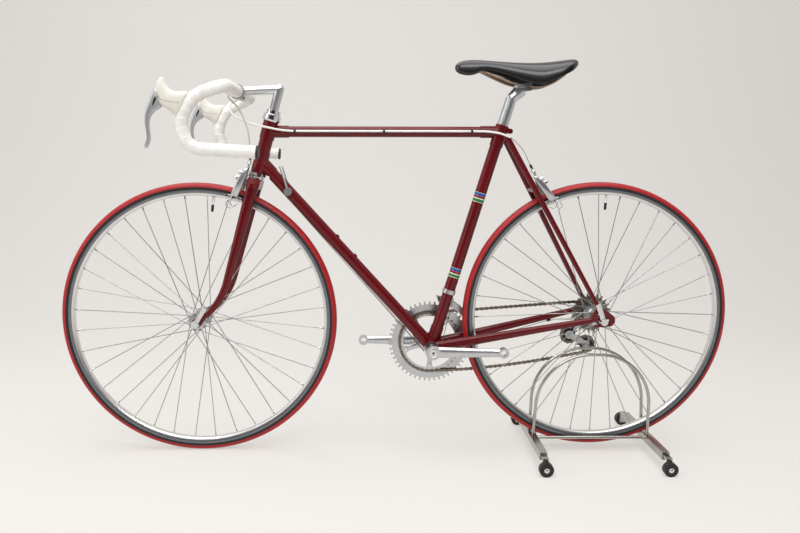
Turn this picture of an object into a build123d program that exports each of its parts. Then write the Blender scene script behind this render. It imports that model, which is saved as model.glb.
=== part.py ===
"""Vintage lugged road bicycle on a rear-wheel display stand.

Frame of the model: millimetres, X forward, Y to the rider's left, Z up.
The origin lies on the floor, midway between the two wheels. The bicycle is drawn with
both wheels on the floor, and then pitched about the front axle, because the stand's
bars lift the rear wheel that rests between them.
"""

from build123d import *
import os
from math import acos, asin, atan2, cos, degrees, hypot, pi, radians, sin, sqrt, tan

# ---------------------------------------------------------------- driving dimensions
WHEELBASE = 980.0
CHAINSTAY = 418.0            # bottom bracket to rear axle
BB_DROP = 75.0               # bottom bracket below the axles
SEAT_ANGLE = 72.75
HEAD_ANGLE = 74.0
FORK_RAKE = 45.0
FORK_LENGTH = 369.0          # axle to crown race seat, along the steering axis
HEAD_TUBE_LENGTH = 126.0
TOP_TUBE_HEIGHT = 788.0
DOWN_TUBE_ON_HEAD = 29.0     # from the head tube's lower end to the down tube's axis
SEAT_TUBE_LENGTH = 570.0     # centre of the bottom bracket to the lip of the seat lug

HEAD_TUBE_R, HEAD_TUBE_BORE = 15.9, 14.9
TOP_TUBE_R = 12.7
MAIN_TUBE_R = 14.3           # down tube and seat tube
SEAT_POST_R = 13.4
STEERER_R = 12.7
LUG_WALL = 1.7
LUG_REACH = 34.0             # how far a socket runs along its tube
BB_SHELL_R, BB_SHELL_WIDTH = 20.0, 68.0
REAR_OLD = 126.0             # between the rear dropouts' inner faces
FRONT_OLD = 100.0
DROPOUT_THICKNESS = 6.0

TYRE_SECTION_R = 11.5
BEAD_R = 317.0               # where the tyre sits on the rim's edge
TYRE_R = 334.0
RIM_WIDTH = 20.0
RIM_DEPTH = 14.0
SPOKE_COUNT = 36
SPOKE_R = 1.0
SPOKE_CROSSES = 3

PITCH = 12.7                 # of the chain
OUTER_TEETH, INNER_TEETH = 50, 38
COG_TEETH = (13, 15, 17, 19, 21, 24)
PULLEY_TEETH = 10
ROLLER_R = 3.85
TOOTH_HEIGHT = 3.4           # above the pitch circle
GAP_HALF_WIDTH = 2.95        # of a tooth gap's flat bottom
TIP_SHARE = 0.09             # half a tooth tip's width, as a share of the pitch
INNER_RING_Y, OUTER_RING_Y = -44.5, -49.5
COG_SPACING = 5.4
SMALL_COG_Y = -56.0
RING_THICKNESS, COG_THICKNESS = 2.2, 1.8
CHAINRING_BCD = 130.0
CRANK_LENGTH = 170.0
PEDAL_THREAD_R = 7.14
GUIDE_PULLEY_AT = (47.0, -62.0)      # from the rear axle, forward and up
CAGE_LENGTH = 51.6           # between the two pulleys
CAGE_ANGLE = -148.5          # the nearest angle that closes the chain is used
CHAIN_SAG = 9.0

BAR_HALF_WIDTH = 195.0
BAR_R, CLAMP_R, TAPE_R = 11.9, 13.0, 14.0
STEM_R = 11.0
STEM_RISE = 219.0            # crown race seat to the stem's corner
STEM_REACH = 96.0
STEM_DROP = 7.8              # bar centre below the stem's corner

STAND_BAR_SIZE = 18.0
STAND_BAR_SPACING = 296.0    # between the two foot bars
STAND_TOP = 46.0
STAND_FOOT_R, STAND_FOOT_WIDTH = 17.0, 15.0
STAND_WIDTH = 356.0          # over the outer faces of the feet
HOOP_WIRE_R = 4.0
HOOP_FOOT_Y, HOOP_TOP_Y = 21.0, 33.0
HOOP_TOP = 257.0

CABLE_R = 2.5                # the rear brake's housing
SLIM_CABLE_R = 2.0           # the front brake's and the rear derailleur's housing
INNER_CABLE_R = 0.8
CLIP_WALL, CLIP_WIDTH = 1.0, 5.0
CLIP_PLACES = (249.0, 38.0, -172.0)  # where clips hold the housing along the top tube
SHIFTER_ALONG = 520.0        # from the bottom bracket along the down tube
SHIFTER_HUB_R = 9.5
BOSS_ALONG = (297.0, 361.0)  # bottle cage bosses, from the bottom bracket
BOSS_R, BOSS_HEIGHT, BOSS_BORE_R, BOSS_DEPTH = 5.0, 2.6, 2.5, 10.0
BRIDGE_Z = 650.0             # height of the rear brake's bridge
POST_INSERTION = 80.0
BINDER_R = 3.0
BB_BORE_R = 17.2
AXLE_SLOT_R = 4.7
RUN_CLEARANCE = 0.3          # between pieces that turn on each other

# ---------------------------------------------------------------- places worked out
AXLE_Z = TYRE_R
REAR = Vector(-WHEELBASE / 2, 0, AXLE_Z)
FRONT = Vector(WHEELBASE / 2, 0, AXLE_Z)
BB = Vector(REAR.X + sqrt(CHAINSTAY**2 - BB_DROP**2), 0, AXLE_Z - BB_DROP)
HEAD_RAD, SEAT_RAD = radians(HEAD_ANGLE), radians(SEAT_ANGLE)
HEAD_AXIS = Vector(-cos(HEAD_RAD), 0, sin(HEAD_RAD))
HEAD_FORWARD = Vector(sin(HEAD_RAD), 0, cos(HEAD_RAD))
SEAT_AXIS = Vector(-cos(SEAT_RAD), 0, sin(SEAT_RAD))
SEAT_FORWARD = Vector(sin(SEAT_RAD), 0, cos(SEAT_RAD))
# Local frames: Z along the tube, X forward, origin beside the front axle or at the bracket.
STEER = Plane(origin=FRONT - HEAD_FORWARD * FORK_RAKE, x_dir=HEAD_FORWARD, z_dir=HEAD_AXIS)
SEAT = Plane(origin=BB, x_dir=SEAT_FORWARD, z_dir=SEAT_AXIS)
STACK_LOWER = 15.0
HEAD_LOW = FORK_LENGTH + STACK_LOWER
HEAD_HIGH = HEAD_LOW + HEAD_TUBE_LENGTH
# The tyre rests on the inner edges of the stand's bars, which lift the rear wheel.
BAR_INNER = (STAND_BAR_SPACING - STAND_BAR_SIZE) / 2
REAR_LIFT = STAND_TOP + RUN_CLEARANCE - (TYRE_R - sqrt(TYRE_R**2 - BAR_INNER**2))
PITCH_ANGLE = degrees(asin(REAR_LIFT / WHEELBASE))
PITCHED = Pos(*FRONT) * Rot(0, PITCH_ANGLE, 0) * Pos(*(FRONT * -1))
STAND_X = FRONT.X - sqrt(WHEELBASE**2 - REAR_LIFT**2)


def on_steering(along, forward=0.0, left=0.0):
    """A point in the steering frame: along the axis, ahead of it and to the left."""
    return STEER.origin + HEAD_AXIS * along + HEAD_FORWARD * forward + Vector(0, left, 0)


def on_seat(along, forward=0.0, left=0.0):
    """A point in the seat tube's frame."""
    return BB + SEAT_AXIS * along + SEAT_FORWARD * forward + Vector(0, left, 0)


TOP_SEAT = on_seat((TOP_TUBE_HEIGHT - BB.Z) / sin(SEAT_RAD))
TOP_HEAD = on_steering((TOP_TUBE_HEIGHT - STEER.origin.Z) / sin(HEAD_RAD))
DOWN_HEAD = on_steering(HEAD_LOW + DOWN_TUBE_ON_HEAD)
TOP_DIR = (TOP_HEAD - TOP_SEAT).normalized()
DOWN_DIR = (DOWN_HEAD - BB).normalized()


# ---------------------------------------------------------------- small makers
def rod(start, end, radius):
    """A round bar between two points."""
    start, end = Vector(*start), Vector(*end)
    axis = end - start
    return Solid.make_cylinder(radius, axis.length, Plane(origin=start, z_dir=axis))


def sleeve(start, end, outer, bore):
    """A round tube between two points."""
    return rod(start, end, outer) - rod(start, end, bore)


def cone(start, end, start_r, end_r):
    """A tapered round bar between two points."""
    start, end = Vector(*start), Vector(*end)
    axis = end - start
    return Solid.make_cone(start_r, end_r, axis.length, Plane(origin=start, z_dir=axis))


def taper(start, end, start_size, end_size, across=(0, 1, 0)):
    """A loft between two ellipses; sizes are half widths (across, other way)."""
    start, end, across = Vector(*start), Vector(*end), Vector(*across)
    axis = (end - start).normalized()
    across = (across - axis * across.dot(axis)).normalized()
    first = Plane(origin=start, x_dir=across, z_dir=axis)
    last = Plane(origin=end, x_dir=across, z_dir=axis)
    return loft([first * Ellipse(*start_size), last * Ellipse(*end_size)])


def turned(profile, centre, axis=Axis.Y):
    """A ring or hub: (radius, y) points turned about the Y axis and set at a centre."""
    face = make_face(Polyline(*profile, close=True))
    return Pos(*centre) * revolve(face, axis)


def turned_on(plane, profile):
    """(radius, along) points turned about the plane's own Z axis."""
    face = Plane.XZ * make_face(Polyline(*profile, close=True))
    return plane * revolve(face, Axis.Z)


def mirrored(shape):
    """The same piece on the other side of the bicycle."""
    return mirror(shape, Plane.XZ)


def group(*shapes):
    """Several solids that share a node."""
    solids = []
    for shape in shapes:
        solids += list(shape.solids())
    return Compound(solids)


def both(shape):
    """A piece and its mirror image, as two solids."""
    return group(shape, mirrored(shape))


def blended(points, radii=None, share=0.45):
    """Straight runs joined by tangent arcs, as large as the runs allow unless given."""
    points = [Vector(*point) for point in points]
    if radii is None:
        radii = []
        for before, here, after in zip(points, points[1:], points[2:]):
            one, two = here - before, after - here
            half_turn = radians(one.get_angle(two)) / 2
            radii.append(share * min(one.length, two.length) / tan(half_turn))
    return FilletPolyline(*points, radius=radii)


def wire(points, radius, radii=None, share=0.45, name=""):
    """A bent round wire or cable along a route."""
    path = blended(points, radii, share)
    bends = [edge.radius for edge in path.edges() if edge.geom_type == GeomType.CIRCLE]
    if name and bends:
        print(f"{name}: bends {', '.join(f'{bend:.0f}' for bend in bends)} mm")
    profile = Plane(origin=path @ 0, z_dir=path % 0) * Circle(radius)
    solid = sweep(profile, path=path)
    if name:
        print(f"{name}: length {path.length:.0f} mm, volume {solid.volume:.0f},"
              f" section times length {pi * radius**2 * path.length:.0f}")
    return solid


def plate(points, thickness, middle_y, origin=(0, 0, 0)):
    """A flat plate in the X-Z plane, given by (x, z) points, centred on middle_y."""
    face = make_face(Polyline(*points, close=True))
    solid = extrude(face, thickness / 2, both=True)
    origin = Vector(*origin)
    return Pos(origin.X, middle_y, origin.Z) * Rot(90, 0, 0) * solid


def disc(centre, radius, thickness):
    """A disc whose axis runs across the bicycle."""
    centre = Vector(*centre)
    half = Vector(0, thickness / 2, 0)
    return rod(centre - half, centre + half, radius)


# ---------------------------------------------------------------- frame
SEAT_STAY_TOP = on_seat(SEAT_TUBE_LENGTH - 24, -15.5)
SEAT_STAY_TOP_Y, STAY_END_Y = 19.5, REAR_OLD / 2 + DROPOUT_THICKNESS / 2
SEAT_STAY_LOW = Vector(REAR.X + 9, STAY_END_Y, AXLE_Z + 30)
CHAIN_STAY_FRONT = Vector(BB.X - 12, 21.0, BB.Z + 4)
CHAIN_STAY_REAR = Vector(REAR.X + 27, STAY_END_Y, AXLE_Z + 2)


def head_tube():
    return turned_on(STEER, [(HEAD_TUBE_BORE, HEAD_LOW), (HEAD_TUBE_R, HEAD_LOW),
                             (HEAD_TUBE_R, HEAD_HIGH), (HEAD_TUBE_BORE, HEAD_HIGH)])


def main_tubes():
    """Top, down and seat tube, mitred where they meet."""
    head_solid = rod(on_steering(HEAD_LOW), on_steering(HEAD_HIGH), HEAD_TUBE_R)
    seat = rod(BB, on_seat(SEAT_TUBE_LENGTH), MAIN_TUBE_R)
    post = rod(on_seat(SEAT_TUBE_LENGTH - POST_INSERTION), on_seat(SEAT_TUBE_LENGTH + 1), SEAT_POST_R)
    shell = rod(BB - Vector(0, BB_SHELL_WIDTH / 2, 0), BB + Vector(0, BB_SHELL_WIDTH / 2, 0), BB_SHELL_R)
    top = rod(TOP_SEAT, TOP_HEAD, TOP_TUBE_R) - head_solid - seat
    down = rod(BB, DOWN_HEAD, MAIN_TUBE_R) - head_solid - shell - below_head()
    seat_cut = seat - shell - post
    down = down - seat
    return top, down, seat_cut


def lug(sleeves, cuts):
    """Sleeves joined into one socketed lug, with everything inside cut away."""
    body = sleeves[0]
    for more in sleeves[1:]:
        body = body + more
    for cut in cuts:
        body = body - cut
    return body


def below_head():
    """The space under the head tube, where the lower headset cup sits."""
    return rod(on_steering(HEAD_LOW - 40), on_steering(HEAD_LOW), 2 * HEAD_TUBE_R)


def above_head():
    """The space over the head tube, where the upper headset cup sits."""
    return rod(on_steering(HEAD_HIGH), on_steering(HEAD_HIGH + 40), 2 * HEAD_TUBE_R)


def head_lugs():
    """Upper and lower head lugs."""
    outer = HEAD_TUBE_R + LUG_WALL
    head_solid = rod(on_steering(HEAD_LOW - 1), on_steering(HEAD_HIGH + 1), HEAD_TUBE_R)
    top_cut = rod(TOP_SEAT, TOP_HEAD, TOP_TUBE_R)
    down_cut = rod(BB, DOWN_HEAD, MAIN_TUBE_R)
    upper = lug([rod(on_steering(HEAD_HIGH - 43), on_steering(HEAD_HIGH), outer),
                 rod(TOP_HEAD, TOP_HEAD - TOP_DIR * (LUG_REACH + 14), TOP_TUBE_R + LUG_WALL)],
                [head_solid, top_cut, above_head()])
    lower = lug([rod(on_steering(HEAD_LOW), on_steering(HEAD_LOW + 52), outer),
                 rod(DOWN_HEAD, DOWN_HEAD - DOWN_DIR * (LUG_REACH + 6), MAIN_TUBE_R + LUG_WALL)],
                [head_solid, down_cut, below_head()])
    return upper, lower




def seat_lug():
    """Seat lug with the clamp ears behind and the stays' eyes beside it."""
    outer = MAIN_TUBE_R + LUG_WALL
    seat = rod(BB, on_seat(SEAT_TUBE_LENGTH + 1), MAIN_TUBE_R)
    top_cut = rod(TOP_SEAT, TOP_HEAD, TOP_TUBE_R)
    ears = rod(on_seat(SEAT_TUBE_LENGTH - 8, -outer - 5, -12), on_seat(SEAT_TUBE_LENGTH - 8, -outer - 5, 12), 6)
    neck = Plane(origin=on_seat(SEAT_TUBE_LENGTH - 8, -outer + 1), x_dir=SEAT_FORWARD, z_dir=SEAT_AXIS) * Box(12, 22, 11)
    bolt = rod(on_seat(SEAT_TUBE_LENGTH - 8, -outer - 5, -15), on_seat(SEAT_TUBE_LENGTH - 8, -outer - 5, 15), BINDER_R)
    body = lug([rod(on_seat(SEAT_TUBE_LENGTH - 52), on_seat(SEAT_TUBE_LENGTH), outer),
                rod(TOP_SEAT, TOP_SEAT + TOP_DIR * (LUG_REACH + 14), TOP_TUBE_R + LUG_WALL), ears, neck],
               [seat, top_cut])
    return body + bolt




def bottom_bracket_shell():
    """The shell with sockets for the down tube, the seat tube and the chainstays."""
    half = Vector(0, BB_SHELL_WIDTH / 2, 0)
    body = lug([rod(BB - half, BB + half, BB_SHELL_R),
                rod(BB, BB + DOWN_DIR * (BB_SHELL_R + LUG_REACH), MAIN_TUBE_R + LUG_WALL),
                rod(BB, BB + SEAT_AXIS * (BB_SHELL_R + LUG_REACH), MAIN_TUBE_R + LUG_WALL)],
               [rod(BB + DOWN_DIR * BB_SHELL_R * 0.7, DOWN_HEAD, MAIN_TUBE_R),
                rod(BB + SEAT_AXIS * BB_SHELL_R * 0.7, TOP_SEAT, MAIN_TUBE_R)])
    return body - rod(BB - half * 1.1, BB + half * 1.1, BB_BORE_R)




def stays():
    """Tapered chainstays and seat stays, cut to the shell, lug and dropouts."""
    chain = taper(CHAIN_STAY_FRONT, CHAIN_STAY_REAR, (8.2, 13.0), (5.6, 7.2))
    top = Vector(SEAT_STAY_TOP.X, SEAT_STAY_TOP_Y, SEAT_STAY_TOP.Z)
    seat = cone(top, SEAT_STAY_LOW, 7.6, 5.4)
    return chain, seat




def axle_slot(start, end, origin, y):
    """A slot for an axle, from a closed end to an open mouth, given from the axle."""
    start, end = Vector(start[0], 0, start[1]) + origin, Vector(end[0], 0, end[1]) + origin
    axis = (end - start).normalized()
    width = DROPOUT_THICKNESS + 4
    plane = Plane(origin=(start + end) * 0.5 + Vector(0, y, 0), x_dir=axis, z_dir=(0, 1, 0))
    return disc(start + Vector(0, y, 0), AXLE_SLOT_R, width) + plane * Box((end - start).length, 2 * AXLE_SLOT_R, width)


def dropout():
    """The left dropout: a forged plate with a triangular window, a rear hook and a slot."""
    outline = [(31, -2), (31, 9), (14, 34), (3, 34), (-21, 17), (-30, 9), (-30, -3), (-23, -12), (-8, -14), (17, -15), (24, -10)]
    window = [(17, 9), (9, 25), (-7, 15), (2, 10)]
    body = plate(outline, DROPOUT_THICKNESS, STAY_END_Y, REAR)
    body = body - plate(window, DROPOUT_THICKNESS + 2, STAY_END_Y, REAR)
    return body - axle_slot((-12, 0), (0, 0), REAR, STAY_END_Y) - axle_slot((0, 0), (40, -13), REAR, STAY_END_Y)


def hanger():
    """The derailleur hanger below the right dropout."""
    outline = [(-10, -10), (14, -12), (13, -24), (6, -32), (-6, -32), (-12, -24)]
    return plate(outline, DROPOUT_THICKNESS, -STAY_END_Y, REAR)


def stay_bridges(seat_stays, chain_stays):
    brake = rod(BRIDGE_AT + Vector(0, -28, 0), BRIDGE_AT + Vector(0, 28, 0), 6.5)
    low = Vector(BB.X - 46, 0, BB.Z + 8)
    lower = rod(low + Vector(0, -25, 0), low + Vector(0, 25, 0), 6.0)
    return brake - seat_stays, lower - chain_stays


def stay_point(height):
    """The point of the left seat stay's axis at a height."""
    top = Vector(SEAT_STAY_TOP.X, SEAT_STAY_TOP_Y, SEAT_STAY_TOP.Z)
    share = (height - top.Z) / (SEAT_STAY_LOW.Z - top.Z)
    return top + (SEAT_STAY_LOW - top) * share


BRIDGE_AT = Vector(stay_point(BRIDGE_Z).X, 0, BRIDGE_Z)


# ---------------------------------------------------------------- wheels
def tyre(centre):
    """A clincher's round carcass, open towards the rim."""
    middle = TYRE_R - TYRE_SECTION_R
    half = RIM_WIDTH / 2 - 1.2
    drop = BEAD_R - middle
    edge = sqrt(TYRE_SECTION_R**2 - drop**2)
    with BuildSketch() as section:
        with BuildLine():
            arc = ThreePointArc((BEAD_R, -edge), (TYRE_R, 0), (BEAD_R, edge))
            Polyline(arc @ 1, (BEAD_R, half), (BEAD_R - 3, half), (BEAD_R - 3, -half), (BEAD_R, -half), arc @ 0)
        make_face()
    return Pos(*centre) * revolve(section.sketch, Axis.Y)


def rim(centre):
    """A box-section rim with a bead channel."""
    half, inner = RIM_WIDTH / 2, BEAD_R - RIM_DEPTH
    wall = 1.2
    profile = [(BEAD_R, half), (BEAD_R - 7, half), (inner + 2.5, half - 2), (inner, half - 5.5), (inner, 5.5 - half),
               (inner + 2.5, 2 - half), (BEAD_R - 7, -half), (BEAD_R, -half), (BEAD_R, wall - half),
               (BEAD_R - 3, wall - half), (BEAD_R - 3, half - wall), (BEAD_R, half - wall)]
    return turned(profile, centre)


def spokes(centre, left_flange, right_flange, hole_r, phase=0.0):
    """Crossed spokes: every other one leans forward, every other one back."""
    solids = []
    rim_r = BEAD_R - RIM_DEPTH - 0.2
    lean = SPOKE_CROSSES * 720.0 / SPOKE_COUNT
    for index in range(SPOKE_COUNT):
        side = 1 if index % 2 == 0 else -1
        forward = 1 if (index // 2) % 2 == 0 else -1
        at_rim = radians(phase + index * 360.0 / SPOKE_COUNT)
        at_hub = at_rim + radians(forward * lean)
        flange = left_flange if side > 0 else right_flange
        outside = forward * side > 0
        y_hub = flange + forward * (FLANGE_THICKNESS / 2 + SPOKE_R + (SPOKE_STANDOFF if outside else 0.1))
        start = Vector(hole_r * cos(at_hub), y_hub, hole_r * sin(at_hub))
        end = Vector(rim_r * cos(at_rim), side * 2.2, rim_r * sin(at_rim))
        solids.append(rod(start + centre, end + centre, SPOKE_R))
    return group(*solids)


FLANGE_THICKNESS = 3.0
SPOKE_STANDOFF = 1.7         # an outer spoke clears the flange's edge as it slants inwards
FLANGE_R = 22.0
SPOKE_HOLE_R = 18.5
FRONT_FLANGE_Y = 35.0
REAR_FLANGE_LEFT, REAR_FLANGE_RIGHT = 32.0, -20.0
AXLE_R = 4.5
HUB_BORE = AXLE_R + RUN_CLEARANCE
NECK_R = 13.0


def hub(centre, left_flange, right_flange, left_end, right_end, waist, neck=0.0):
    """A small-flange hub shell; a rear one has a neck that carries the freewheel."""
    half = FLANGE_THICKNESS / 2
    profile = [(HUB_BORE, left_end), (13, left_end), (14.5, left_flange + half + 1), (FLANGE_R, left_flange + half),
               (FLANGE_R, left_flange - half), (15, left_flange - half), (waist, left_flange - 9),
               (waist, right_flange + 9), (15, right_flange + half), (FLANGE_R, right_flange + half),
               (FLANGE_R, right_flange - half), (14.5, right_flange - half - 1), (NECK_R, right_end)]
    if neck:
        profile.append((NECK_R, right_end - neck))
    profile.append((HUB_BORE, right_end - neck))
    return turned(profile, centre)


def axle(centre, half_length, nut_inner):
    """The axle with its two locknuts, which seat on the dropouts."""
    outer_face = nut_inner
    profile = [(0, half_length), (AXLE_R, half_length), (AXLE_R, outer_face), (8, outer_face), (8, outer_face - 6),
               (AXLE_R, outer_face - 6), (AXLE_R, 6 - outer_face), (8, 6 - outer_face), (8, -outer_face),
               (AXLE_R, -outer_face), (AXLE_R, -half_length), (0, -half_length)]
    return turned(profile, centre)


def quick_release(centre, face_y, lever_dir):
    """Nut on the right and lever on the left of a quick release."""
    nut = turned([(0, 0), (9, 0), (9, -5), (7, -12), (0, -12)], centre + Vector(0, -face_y, 0))
    body = turned([(0, 0), (10, 0), (10, 4), (8.5, 14), (0, 14)], centre + Vector(0, face_y, 0))
    direction = Vector(*lever_dir).normalized()
    start = centre + Vector(0, face_y + 9, 0) + direction * 6
    arm = taper(start, start + direction * 42 + Vector(0, 4, 0), (3.4, 6.0), (2.6, 7.0))
    return nut, body + arm


def valve(centre, angle):
    """A slim valve stem with its cap, standing inward from the rim."""
    direction = Vector(cos(angle), 0, sin(angle))
    outer = centre + direction * (BEAD_R - RIM_DEPTH - 0.2)
    return rod(outer, outer - direction * 20, 3.0) + rod(outer - direction * 20, outer - direction * 37, 3.4)


# ---------------------------------------------------------------- chain drive
def pitch_radius(teeth):
    return PITCH / (2 * sin(pi / teeth))


def toothed_disc(teeth, thickness, y, centre, phase=0.0, bore=8.0):
    """A sprocket; a tooth gap lies at the phase angle, measured from +X towards +Z."""
    pitch_r = pitch_radius(teeth)
    root_r, tip_r = pitch_r - ROLLER_R - 0.15, pitch_r + TOOTH_HEIGHT
    half_gap = asin(GAP_HALF_WIDTH / root_r)
    tip_share = (0.5 - TIP_SHARE) * 2 * pi / teeth
    points = []
    for tooth in range(teeth):
        gap = phase + 2 * pi * tooth / teeth
        for radius, angle in ((tip_r, gap - tip_share), (root_r, gap - half_gap), (root_r, gap + half_gap), (tip_r, gap + tip_share)):
            points.append((radius * cos(angle), radius * sin(angle)))
    body = plate(points, thickness, y, centre)
    return body - disc((centre.X, y, centre.Z), bore, thickness + 2)


def arc_points(centre, radius, start, end):
    """Points along an arc from one angle to another, about half a millimetre apart."""
    steps = max(2, int(abs(end - start) * radius / 0.5))
    return [(centre[0] + radius * cos(start + (end - start) * i / steps),
             centre[1] + radius * sin(start + (end - start) * i / steps)) for i in range(steps + 1)]


def tension_pulley_at(angle):
    """Where the lower pulley lies from the rear axle when the cage points along an angle."""
    return (GUIDE_PULLEY_AT[0] + CAGE_LENGTH * cos(radians(angle)),
            GUIDE_PULLEY_AT[1] + CAGE_LENGTH * sin(radians(angle)))


def line_points(start, end, hang=0.0):
    """Points from one place to another, about a millimetre apart, with a sag between them."""
    steps = int(hypot(end[0] - start[0], end[1] - start[1])) + 1
    shares = [i / steps for i in range(1, steps)]
    return [(start[0] + (end[0] - start[0]) * share,
             start[1] + (end[1] - start[1]) * share - hang * 4 * share * (1 - share)) for share in shares]


def chain_route(cage_angle):
    """Where the chain's pivots run: round the ring, cog, guide pulley and tension pulley.

    The points are (x, z). The loop starts at the front of the ring and runs over its top.
    """
    ring, cog = pitch_radius(INNER_TEETH), pitch_radius(COG_TEETH[0])
    pulley = pitch_radius(PULLEY_TEETH)
    ring_c, cog_c = (BB.X, BB.Z), (REAR.X, REAR.Z)
    guide_c = (REAR.X + GUIDE_PULLEY_AT[0], REAR.Z + GUIDE_PULLEY_AT[1])
    lower = tension_pulley_at(cage_angle)
    tension_c = (REAR.X + lower[0], REAR.Z + lower[1])

    def between(a, b):
        return hypot(b[0] - a[0], b[1] - a[1]), atan2(b[1] - a[1], b[0] - a[0])

    gap, run = between(ring_c, cog_c)
    over_top = run - acos((ring - cog) / gap)
    gap, run = between(cog_c, guide_c)
    leave_cog = run - acos((cog + pulley) / gap) + 2 * pi
    onto_guide = leave_cog - pi
    gap, run = between(guide_c, tension_c)
    leave_guide = run + acos(2 * pulley / gap)
    onto_tension = leave_guide + pi
    gap, run = between(tension_c, ring_c)
    onto_ring = run - acos((pulley - ring) / gap)
    leave_tension = onto_ring + 2 * pi
    stretches = (arc_points(ring_c, ring, 0.0, over_top), arc_points(cog_c, cog, over_top, leave_cog),
                 arc_points(guide_c, pulley, onto_guide, leave_guide),
                 arc_points(tension_c, pulley, onto_tension, leave_tension), arc_points(ring_c, ring, onto_ring, 0.0))
    route = list(stretches[0])
    for stretch in stretches[1:]:
        sag = CHAIN_SAG if stretch is stretches[-1] else 0.0
        route += line_points(route[-1], stretch[0], sag) + stretch
    return route


def chain_y(x):
    """How far to the right the chain runs: from the inner ring back to the small cog."""
    front, back = BB.X - pitch_radius(OUTER_TEETH) - 6, REAR.X + 72
    share = min(1.0, max(0.0, (front - x) / (front - back)))
    return INNER_RING_Y + (SMALL_COG_Y - INNER_RING_Y) * share


def walk(route):
    """Pivots one pitch apart along the route, from its start to less than a pitch from its end."""
    here, index = route[0], 0
    pivots = [here]
    while True:
        while index < len(route) - 1 and hypot(route[index + 1][0] - here[0], route[index + 1][1] - here[1]) < PITCH:
            index += 1
        if index >= len(route) - 1:
            return pivots
        a, b = route[index], route[index + 1]
        low, high = 0.0, 1.0
        for _ in range(30):
            mid = (low + high) / 2
            if hypot(a[0] + (b[0] - a[0]) * mid - here[0], a[1] + (b[1] - a[1]) * mid - here[1]) < PITCH:
                low = mid
            else:
                high = mid
        here = (a[0] + (b[0] - a[0]) * high, a[1] + (b[1] - a[1]) * high)
        pivots.append(here)


def close_chain():
    """The cage angle nearest its nominal one at which an even number of links closes the loop."""
    best = None
    for step in range(0, 1200):
        turn = (step + 1) // 2 * (0.02 if step % 2 else -0.02)
        route = chain_route(CAGE_ANGLE + turn)
        pivots = walk(route)
        left = hypot(pivots[-1][0] - route[0][0], pivots[-1][1] - route[0][1])
        count = len(pivots) if left > PITCH / 2 else len(pivots) - 1
        error = min(left, abs(left - PITCH))
        if count % 2 == 0 and error < 0.05:
            print(f"chain: {count} links, cage turned {turn:.2f} degrees, closes to {error:.3f} mm")
            return CAGE_ANGLE + turn, pivots[:count]
    raise ValueError("the chain does not close near this cage angle")


CAGE_SET, PIVOTS = close_chain()
TENSION_PULLEY_AT = tension_pulley_at(CAGE_SET)


def phase_on(centre, teeth):
    """The phase that puts a tooth gap under the pivots that lie on this sprocket."""
    radius = pitch_radius(teeth)
    for x, z in PIVOTS[1:]:
        if abs(hypot(x - centre.X, z - centre.Z) - radius) < 0.02:
            return atan2(z - centre.Z, x - centre.X)
    return pi / 2


PLATE_HEIGHT = 8.2
PLATE_THICKNESS = 0.9
INNER_GAP = 2.9              # between the inner plates, where the teeth go
PLATE_GAP = 0.15             # between an inner plate and an outer one


def link_plane(index):
    """The frame of one link: X along it, Y across its height, Z across the bicycle."""
    (x1, z1), (x2, z2) = PIVOTS[index], PIVOTS[(index + 1) % len(PIVOTS)]
    start, end = Vector(x1, chain_y(x1), z1), Vector(x2, chain_y(x2), z2)
    axis = (end - start).normalized()
    upright = axis.cross(Vector(0, 1, 0)).normalized()
    return Plane(origin=(start + end) * 0.5, x_dir=axis, z_dir=axis.cross(upright))


def inner_link():
    """Two plates joined by their two rollers."""
    offset = (INNER_GAP + PLATE_THICKNESS) / 2
    body = None
    for side in (1, -1):
        side_plate = Pos(0, 0, side * offset) * Box(PITCH + PLATE_HEIGHT - 1.5, PLATE_HEIGHT, PLATE_THICKNESS)
        body = side_plate if body is None else body + side_plate
    for end in (1, -1):
        roller = Pos(end * PITCH / 2, 0, 0) * extrude(RegularPolygon(ROLLER_R, 6), INNER_GAP / 2, both=True)
        body = body + roller
    return body


def outer_link():
    """Two plates outside their neighbours' plates."""
    offset = INNER_GAP / 2 + PLATE_THICKNESS * 1.5 + PLATE_GAP
    return [Pos(0, 0, side * offset) * Box(PITCH + PLATE_HEIGHT - 1.5, PLATE_HEIGHT, PLATE_THICKNESS) for side in (1, -1)]


def chain():
    """Inner and outer links by turns along the pivots."""
    solids = []
    inner, outer = inner_link(), outer_link()
    for index in range(len(PIVOTS)):
        plane = link_plane(index)
        solids += [plane * part for part in ([inner] if index % 2 else outer)]
    return group(*solids)


# ---------------------------------------------------------------- crankset
SPINDLE_R = 8.5
CRANK_INNER_Y = 47.0
CRANK_BOSS_LENGTH = 22.0
CRANK_EYE_Y = 66.0
CRANK_EYE_LENGTH = 14.0


def crank(side):
    """A crank arm; side is +1 for the left one, pointing back, -1 for the right one, pointing forward."""
    away = -side
    boss_y = side * (CRANK_INNER_Y + CRANK_BOSS_LENGTH / 2)
    eye = BB + Vector(away * CRANK_LENGTH, side * (CRANK_EYE_Y + CRANK_EYE_LENGTH / 2), 0)
    body = disc(BB + Vector(0, boss_y, 0), 17.5, CRANK_BOSS_LENGTH)
    arm_start = BB + Vector(away * 4, side * (CRANK_INNER_Y + 14), 0)
    arm = taper(arm_start, eye - Vector(away * 3, 0, 0), (6.8, 14.0), (6.2, 9.5))
    body = body + arm + disc(eye, 12.5, CRANK_EYE_LENGTH)
    body = body - disc(eye, PEDAL_THREAD_R, CRANK_EYE_LENGTH + 4)
    return body - disc(BB + Vector(0, side * (CRANK_INNER_Y + 7), 0), SPINDLE_R, 14.01)


def spindle():
    half = CRANK_INNER_Y + 13.9
    return rod(BB - Vector(0, half, 0), BB + Vector(0, half, 0), SPINDLE_R)


SPIDER_Y = (INNER_RING_Y + OUTER_RING_Y) / 2


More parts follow.
